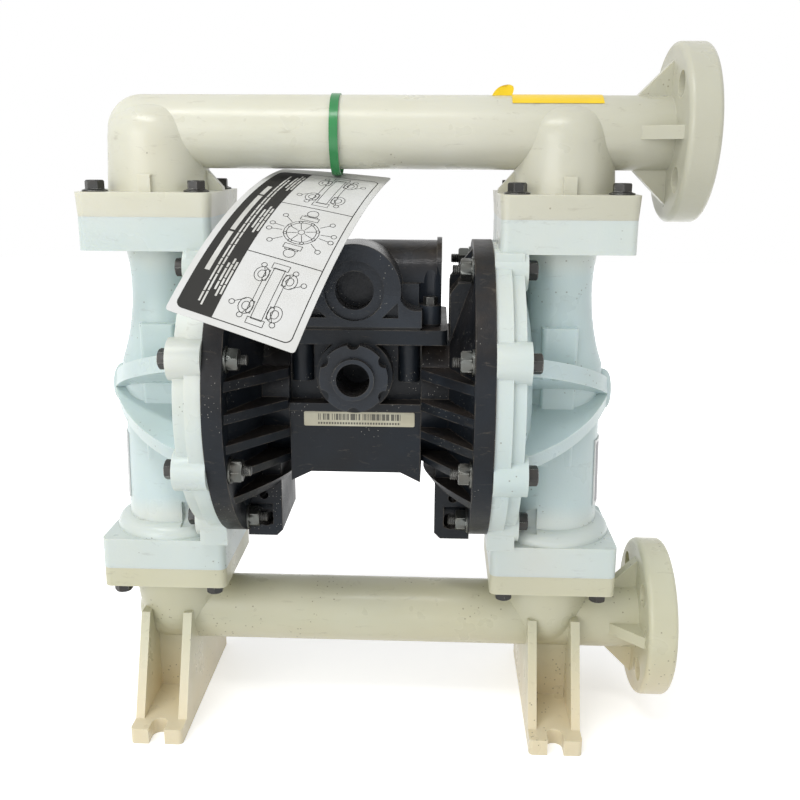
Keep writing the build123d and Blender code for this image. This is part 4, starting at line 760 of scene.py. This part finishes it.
def roundedBoxPath(left, right, low, top, bend):
    # four quarter circles, from the upper right one round, and back to the first point
    start, end, under, over = left + bend, right - bend, low + bend, top - bend
    points = []
    for quarter, center in enumerate([(end, over), (start, over), (start, under), (end, under)]):
        angle = np.linspace(0, pi / 2, 7) + quarter * pi / 2
        points.append(center + bend * np.stack([np.cos(angle), np.sin(angle)], axis=-1))
    return np.concatenate([*points, points[0][:1]])


def callOuts(center, inner, outer, degrees, dot=0.0016):
    # at each angle, a leader out to a small ring
    paths = []
    for angle in np.radians(degrees):
        way = np.array([cos(angle), sin(angle)])
        middle = center + way * outer
        paths += [np.array([center + way * inner, middle - way * dot]), ringPath(middle, dot, 12)]
    return paths


barFigure = {
    "bar": (0.0065, 0.036), "cap": (0.010, 0.004), "capReach": 0.0195, "hoodReach": (0.0085, 0.0115),
    "hoods": ((0.0042, 18), (0.0022, 12)), "stretch": 1.25, "neck": (0.0024, 0.008), "neckShift": 0.0026,
    "rail": (0.0065, 0.008), "calls": (0.0125, 0.0205), "callAngles": (35, 62, 118, 215, 242, 298),
}


def barPaths(center, bar, cap, capReach, hoodReach, hoods, stretch, neck, neckShift, rail, calls, callAngles):
    # plain line figure: a bar between two pairs of hoods, with a small box at each end
    paths = [boxPath(center, *bar)]
    paths += [boxPath(center + np.array((0, end * capReach)), *cap) for end in (1, -1)]
    for side in (-1, 1):
        for end in (-1, 1):
            hood = center + np.array((side * hoodReach[0], end * hoodReach[1]))
            paths += [ringPath(hood, radius, count, stretch) for radius, count in hoods]
            paths.append(boxPath(hood - np.array((side * neckShift, 0)), *neck))
        paths.append(center + np.array([(side * rail[0], -rail[1]), (side * rail[0], rail[1])]))
    return paths + callOuts(center, *calls, callAngles)


ringFigure = {
    "rings": ((0.0105, 28), (0.0088, 28), (0.0020, 12)), "spokes": 8, "spoke": (0.003, 0.0085),
    "boltCircle": 0.0097, "bolt": (0.0011, 10), "foot": (0.011, 0.0035), "footReach": 0.0135,
    "knob": (0.0034, 18), "knobReach": 0.0190, "collar": (0.008, 0.0012), "collarReach": 0.0158,
    "calls": (0.0118, 0.0195), "callAngles": (8, 40, 140, 172, 188, 220, 320, 352),
}


def ringPaths(center, rings, spokes, spoke, boltCircle, bolt, foot, footReach, knob, knobReach, collar,
              collarReach, calls, callAngles):
    # plain line figure: a spoked disc with a foot, a collar and a knob above and below
    paths = [ringPath(center, radius, count) for radius, count in rings]
    for angle in np.radians((np.arange(spokes) + 0.5) * 360 / spokes):
        way = np.array([cos(angle), sin(angle)])
        paths.append(ringPath(center + way * boltCircle, *bolt))
        paths.append(np.array([center + way * spoke[0], center + way * spoke[1]]))
    for end in (-1, 1):
        paths.append(boxPath(center + np.array((0, end * footReach)), *foot))
        paths.append(ringPath(center + np.array((0, end * knobReach)), *knob))
        paths.append(boxPath(center + np.array((0, end * collarReach)), *collar))
    return paths + callOuts(center, *calls, callAngles)


def printAcross(look):
    left, right = look["margin"], look["width"] - look["margin"]
    return left, left + (right - left) * look["bandShare"], right


def printAlong(look):
    return look["margin"], look["length"] - look["topMargin"]


def makeTagLines(look):
    (left, bandRight, right), (low, top) = printAcross(look), printAlong(look)
    drawings = [(barPaths, barFigure), (ringPaths, ringFigure), (barPaths, barFigure)]
    cell = (top - low) / len(drawings)
    paths = [(roundedBoxPath(left, right, low, top, look["printRound"]), look["line"])]
    for index in range(1, len(drawings)):
        height = low + index * cell
        paths.append((np.array([(bandRight, height), (right, height)]), look["line"]))
    for index, (figurePaths, sizes) in enumerate(drawings):
        center = np.array([(bandRight + right) / 2, low + (index + 0.5) * cell])
        paths += [(path, look["fineLine"]) for path in figurePaths(center, **sizes)]
    inked = strokes(paths, look["thickness"] / 2 + look["lineLift"], look)
    meshPiece("tag_lines", *inked, "tagInk", closed=False)


def makeTagBand(look):
    left, bandRight = printAcross(look)[:2]
    rows, drawn = roundedRows(*printAlong(look), look["printRound"])
    drawn, share = drawn[:, None], np.linspace(0, 1, 9)[None, :]
    across = left + drawn + share * (bandRight - left - drawn)
    points = cardPoints(across, rows[:, None] + 0 * across, look["thickness"] / 2 + look["bandLift"], look)
    meshPiece("tag_band", points, gridFaces(*points.shape[:2]), "tagInk", closed=False)


bandRules = {
    "rows": [  # place across the band, gap below it, gap above it, width of a bar, longest bar
        (0.0062, 0.030, 0.034, 0.0030, 0.040),
        (0.0108, 0.008, 0.010, 0.0011, 0.011),
        (0.0130, 0.006, 0.018, 0.0011, 0.011),
    ],
    "blockStarts": (0.014, 0.066, 0.117), "blockLength": 0.027, "blockTrims": (0.004, 0.0, 0.002),
    "blockPlace": 0.0160, "blockStep": 0.0021, "blockBar": (0.0012, 0.010),
    "shortest": 0.35, "space": 1.6, "seed": 7,
}


def makeTagRules(look, rows, blockStarts, blockLength, blockTrims, blockPlace, blockStep, blockBar, shortest,
                 space, seed):
    # pale bars in place of lines of print: each is a share of the longest, and a share of its width apart
    left, (low, top) = look["margin"], printAlong(look)
    dice = np.random.default_rng(seed)
    bars = []

    def ruledLine(at, start, end, width, longest):
        spot = start
        while spot < end:
            step = min(dice.uniform(shortest, 1.0) * longest, end - spot)
            bars.append((np.array([(at, spot), (at, spot + step)]), width))
            spot += step + width * space

    for place, below, above, width, longest in rows:
        ruledLine(left + place, low + below, top - above, width, longest)
    for start in blockStarts:
        for index, trim in enumerate(blockTrims):
            place = left + blockPlace + blockStep * index
            ruledLine(place, low + start + trim, low + start + blockLength - trim, *blockBar)
    pale = strokes(bars, look["thickness"] / 2 + look["ruleLift"], look)
    meshPiece("tag_rules", *pale, "tagPale", closed=False)


makeCard(tagLook)
makeTagLines(tagLook)
makeTagBand(tagLook)
makeTagRules(tagLook, **bandRules)
print("tag made")

stickerFlap = {
    "middle": 0.0900, "halfLength": 0.0062, "height": 0.0085, "front": -0.0055, "lean": 0.0030,
    "pull": 0.0035, "twist": 0.0022, "pipeRadius": 0.0230, "thickness": 0.00025,
}


def makeStickerFlap(middle, halfLength, height, front, lean, pull, twist, pipeRadius, thickness):
    # Loose torn end: s runs along the pipe from -1 to 1, t from the pipe to just short of the tip. Half the
    # leaf's length is halfLength * sqrt(1 - t^2.4), its tip is drawn along by pull * t, it leans back by
    # lean * t^2, is twisted by twist * s * t and rises by height * t * (1 - t / 4).
    t = np.linspace(0, 0.985, 22)[:, None]
    s = np.linspace(-1, 1, 15)[None, :]
    x = middle + s * halfLength * np.sqrt(1 - t ** 2.4) + pull * t
    y = front + lean * t ** 2 + twist * s * t
    foot = outletHeight + np.sqrt(pipeRadius ** 2 - y ** 2)
    z = foot + height * t * (1 - 0.25 * t)
    faces = [np.stack([x, y + side * thickness / 2, z], axis=-1) for side in (-1, 1)]
    points = np.concatenate([faces[0], faces[1][:, ::-1]], axis=1)
    flap = meshPiece("sticker_flap", points, shellFaces(*points.shape[:2]), "stickerFilm", sharpAngle=60)


makeStickerFlap(**stickerFlap)
print("sticker flap made")

pumpView = {
    "place": (0.05138, -0.62665, 0.38866),
    "pitch": 0.2524,  # down
    "yaw": -0.0392,
    "roll": 0.0054,
    "focal": 941.78,  # in pixels, when a picture is this many wide:
    "width": 800,
}


def makeCamera(place, pitch, yaw, roll, focal, width):
    forward = Vector((sin(yaw) * cos(pitch), cos(yaw) * cos(pitch), -sin(pitch)))
    level = Vector((cos(yaw), -sin(yaw), 0))
    upward = level.cross(forward)
    right = cos(roll) * level + sin(roll) * upward
    above = -sin(roll) * level + cos(roll) * upward
    data = bpy.data.cameras.new("pumpCamera")
    data.sensor_width = 36.0
    data.lens = data.sensor_width * focal / width
    data.clip_start = 0.01
    camera = bpy.data.objects.new("pumpCamera", data)
    camera.matrix_world = Matrix.Translation(place) @ Matrix((right, above, -forward)).transposed().to_4x4()
    bpy.context.collection.objects.link(camera)
    bpy.context.scene.camera = camera


def seenDirectly(tree):
    # 1 for what the camera sees, also in a mirror or through glass, and 0 for what lights the pump
    path = tree.nodes.new("ShaderNodeLightPath")
    seen = mathNode(tree, "MAXIMUM", path.outputs["Is Camera Ray"], path.outputs["Is Glossy Ray"])
    return mathNode(tree, "MAXIMUM", seen, path.outputs["Is Transmission Ray"])


floorLook = {
    "size": 6.0, "color": (0.88, 0.88, 0.88, 1.0), "rough": 0.9, "lift": (0.42, 1.0), "fade": (0.30, 0.62),
}


def makeFloor(size, color, rough, lift, fade):
    half = size / 2
    corners = [(-half, -half, 0), (half, -half, 0), (half, half, 0), (-half, half, 0)]
    mesh = bpy.data.meshes.new("floor")
    mesh.from_pydata(corners, [], [(0, 1, 2, 3)])
    floor = bpy.data.objects.new("floor", mesh)
    bpy.context.collection.objects.link(floor)
    material, tree, shader = newMaterial(
        "floorPaint", Roughness=rough, Specular_IOR_Level=0.0, Base_Color=color, Emission_Color=white,
    )
    # the floor as seen is lifted towards white, more so away from the pump's shadow
    seen = seenDirectly(tree)
    away = rangeOf(tree, lengthOf(tree, *pointParts(tree, "XY")), *fade, *lift)
    tree.links.new(mathNode(tree, "MULTIPLY", seen, away), shader.inputs["Emission Strength"])
    mesh.materials.append(material)


studio = {
    "worldSeen": 1.0,
    "worldLight": 0.68,
    "lamps": {
        "stripLamp": {"place": (-0.55, -0.85, 2.0), "aim": (-0.1, 0, 0.3), "size": (1.3, 0.2), "power": 13.5},
        "frontLamp": {"place": (-1.2, -1.9, 0.8), "aim": (-0.1, 0, 0.2), "size": (1.4, 1.0), "power": 16.0},
        "sideLamp": {"place": (1.6, -0.9, 1.0), "aim": (0, 0, 0.25), "size": (0.9, 0.9), "power": 1.2},
    },
}


def makeWorld(seen, light):
    world = bpy.data.worlds.new("studioWorld")
    bpy.context.scene.world = world
    world.use_nodes = True
    tree = world.node_tree
    background = tree.nodes["Background"]
    background.inputs["Color"].default_value = white
    tree.links.new(rangeOf(tree, seenDirectly(tree), 0.0, 1.0, light, seen), background.inputs["Strength"])


def addLamp(name, place, aim, size, power):
    lamp = bpy.data.lights.new(name, "AREA")
    lamp.shape = "RECTANGLE"
    lamp.size, lamp.size_y = size
    lamp.energy = power
    holder = bpy.data.objects.new(name, lamp)
    facing = (Vector(place) - Vector(aim)).to_track_quat("Z", "Y").to_matrix().to_4x4()
    holder.matrix_world = Matrix.Translation(place) @ facing
    bpy.context.collection.objects.link(holder)


makeCamera(**pumpView)
makeFloor(**floorLook)
makeWorld(studio["worldSeen"], studio["worldLight"])
for name, lamp in studio["lamps"].items():
    addLamp(name, **lamp)
bpy.context.scene.view_settings.view_transform = "Standard"
print("camera, floor and lights set")
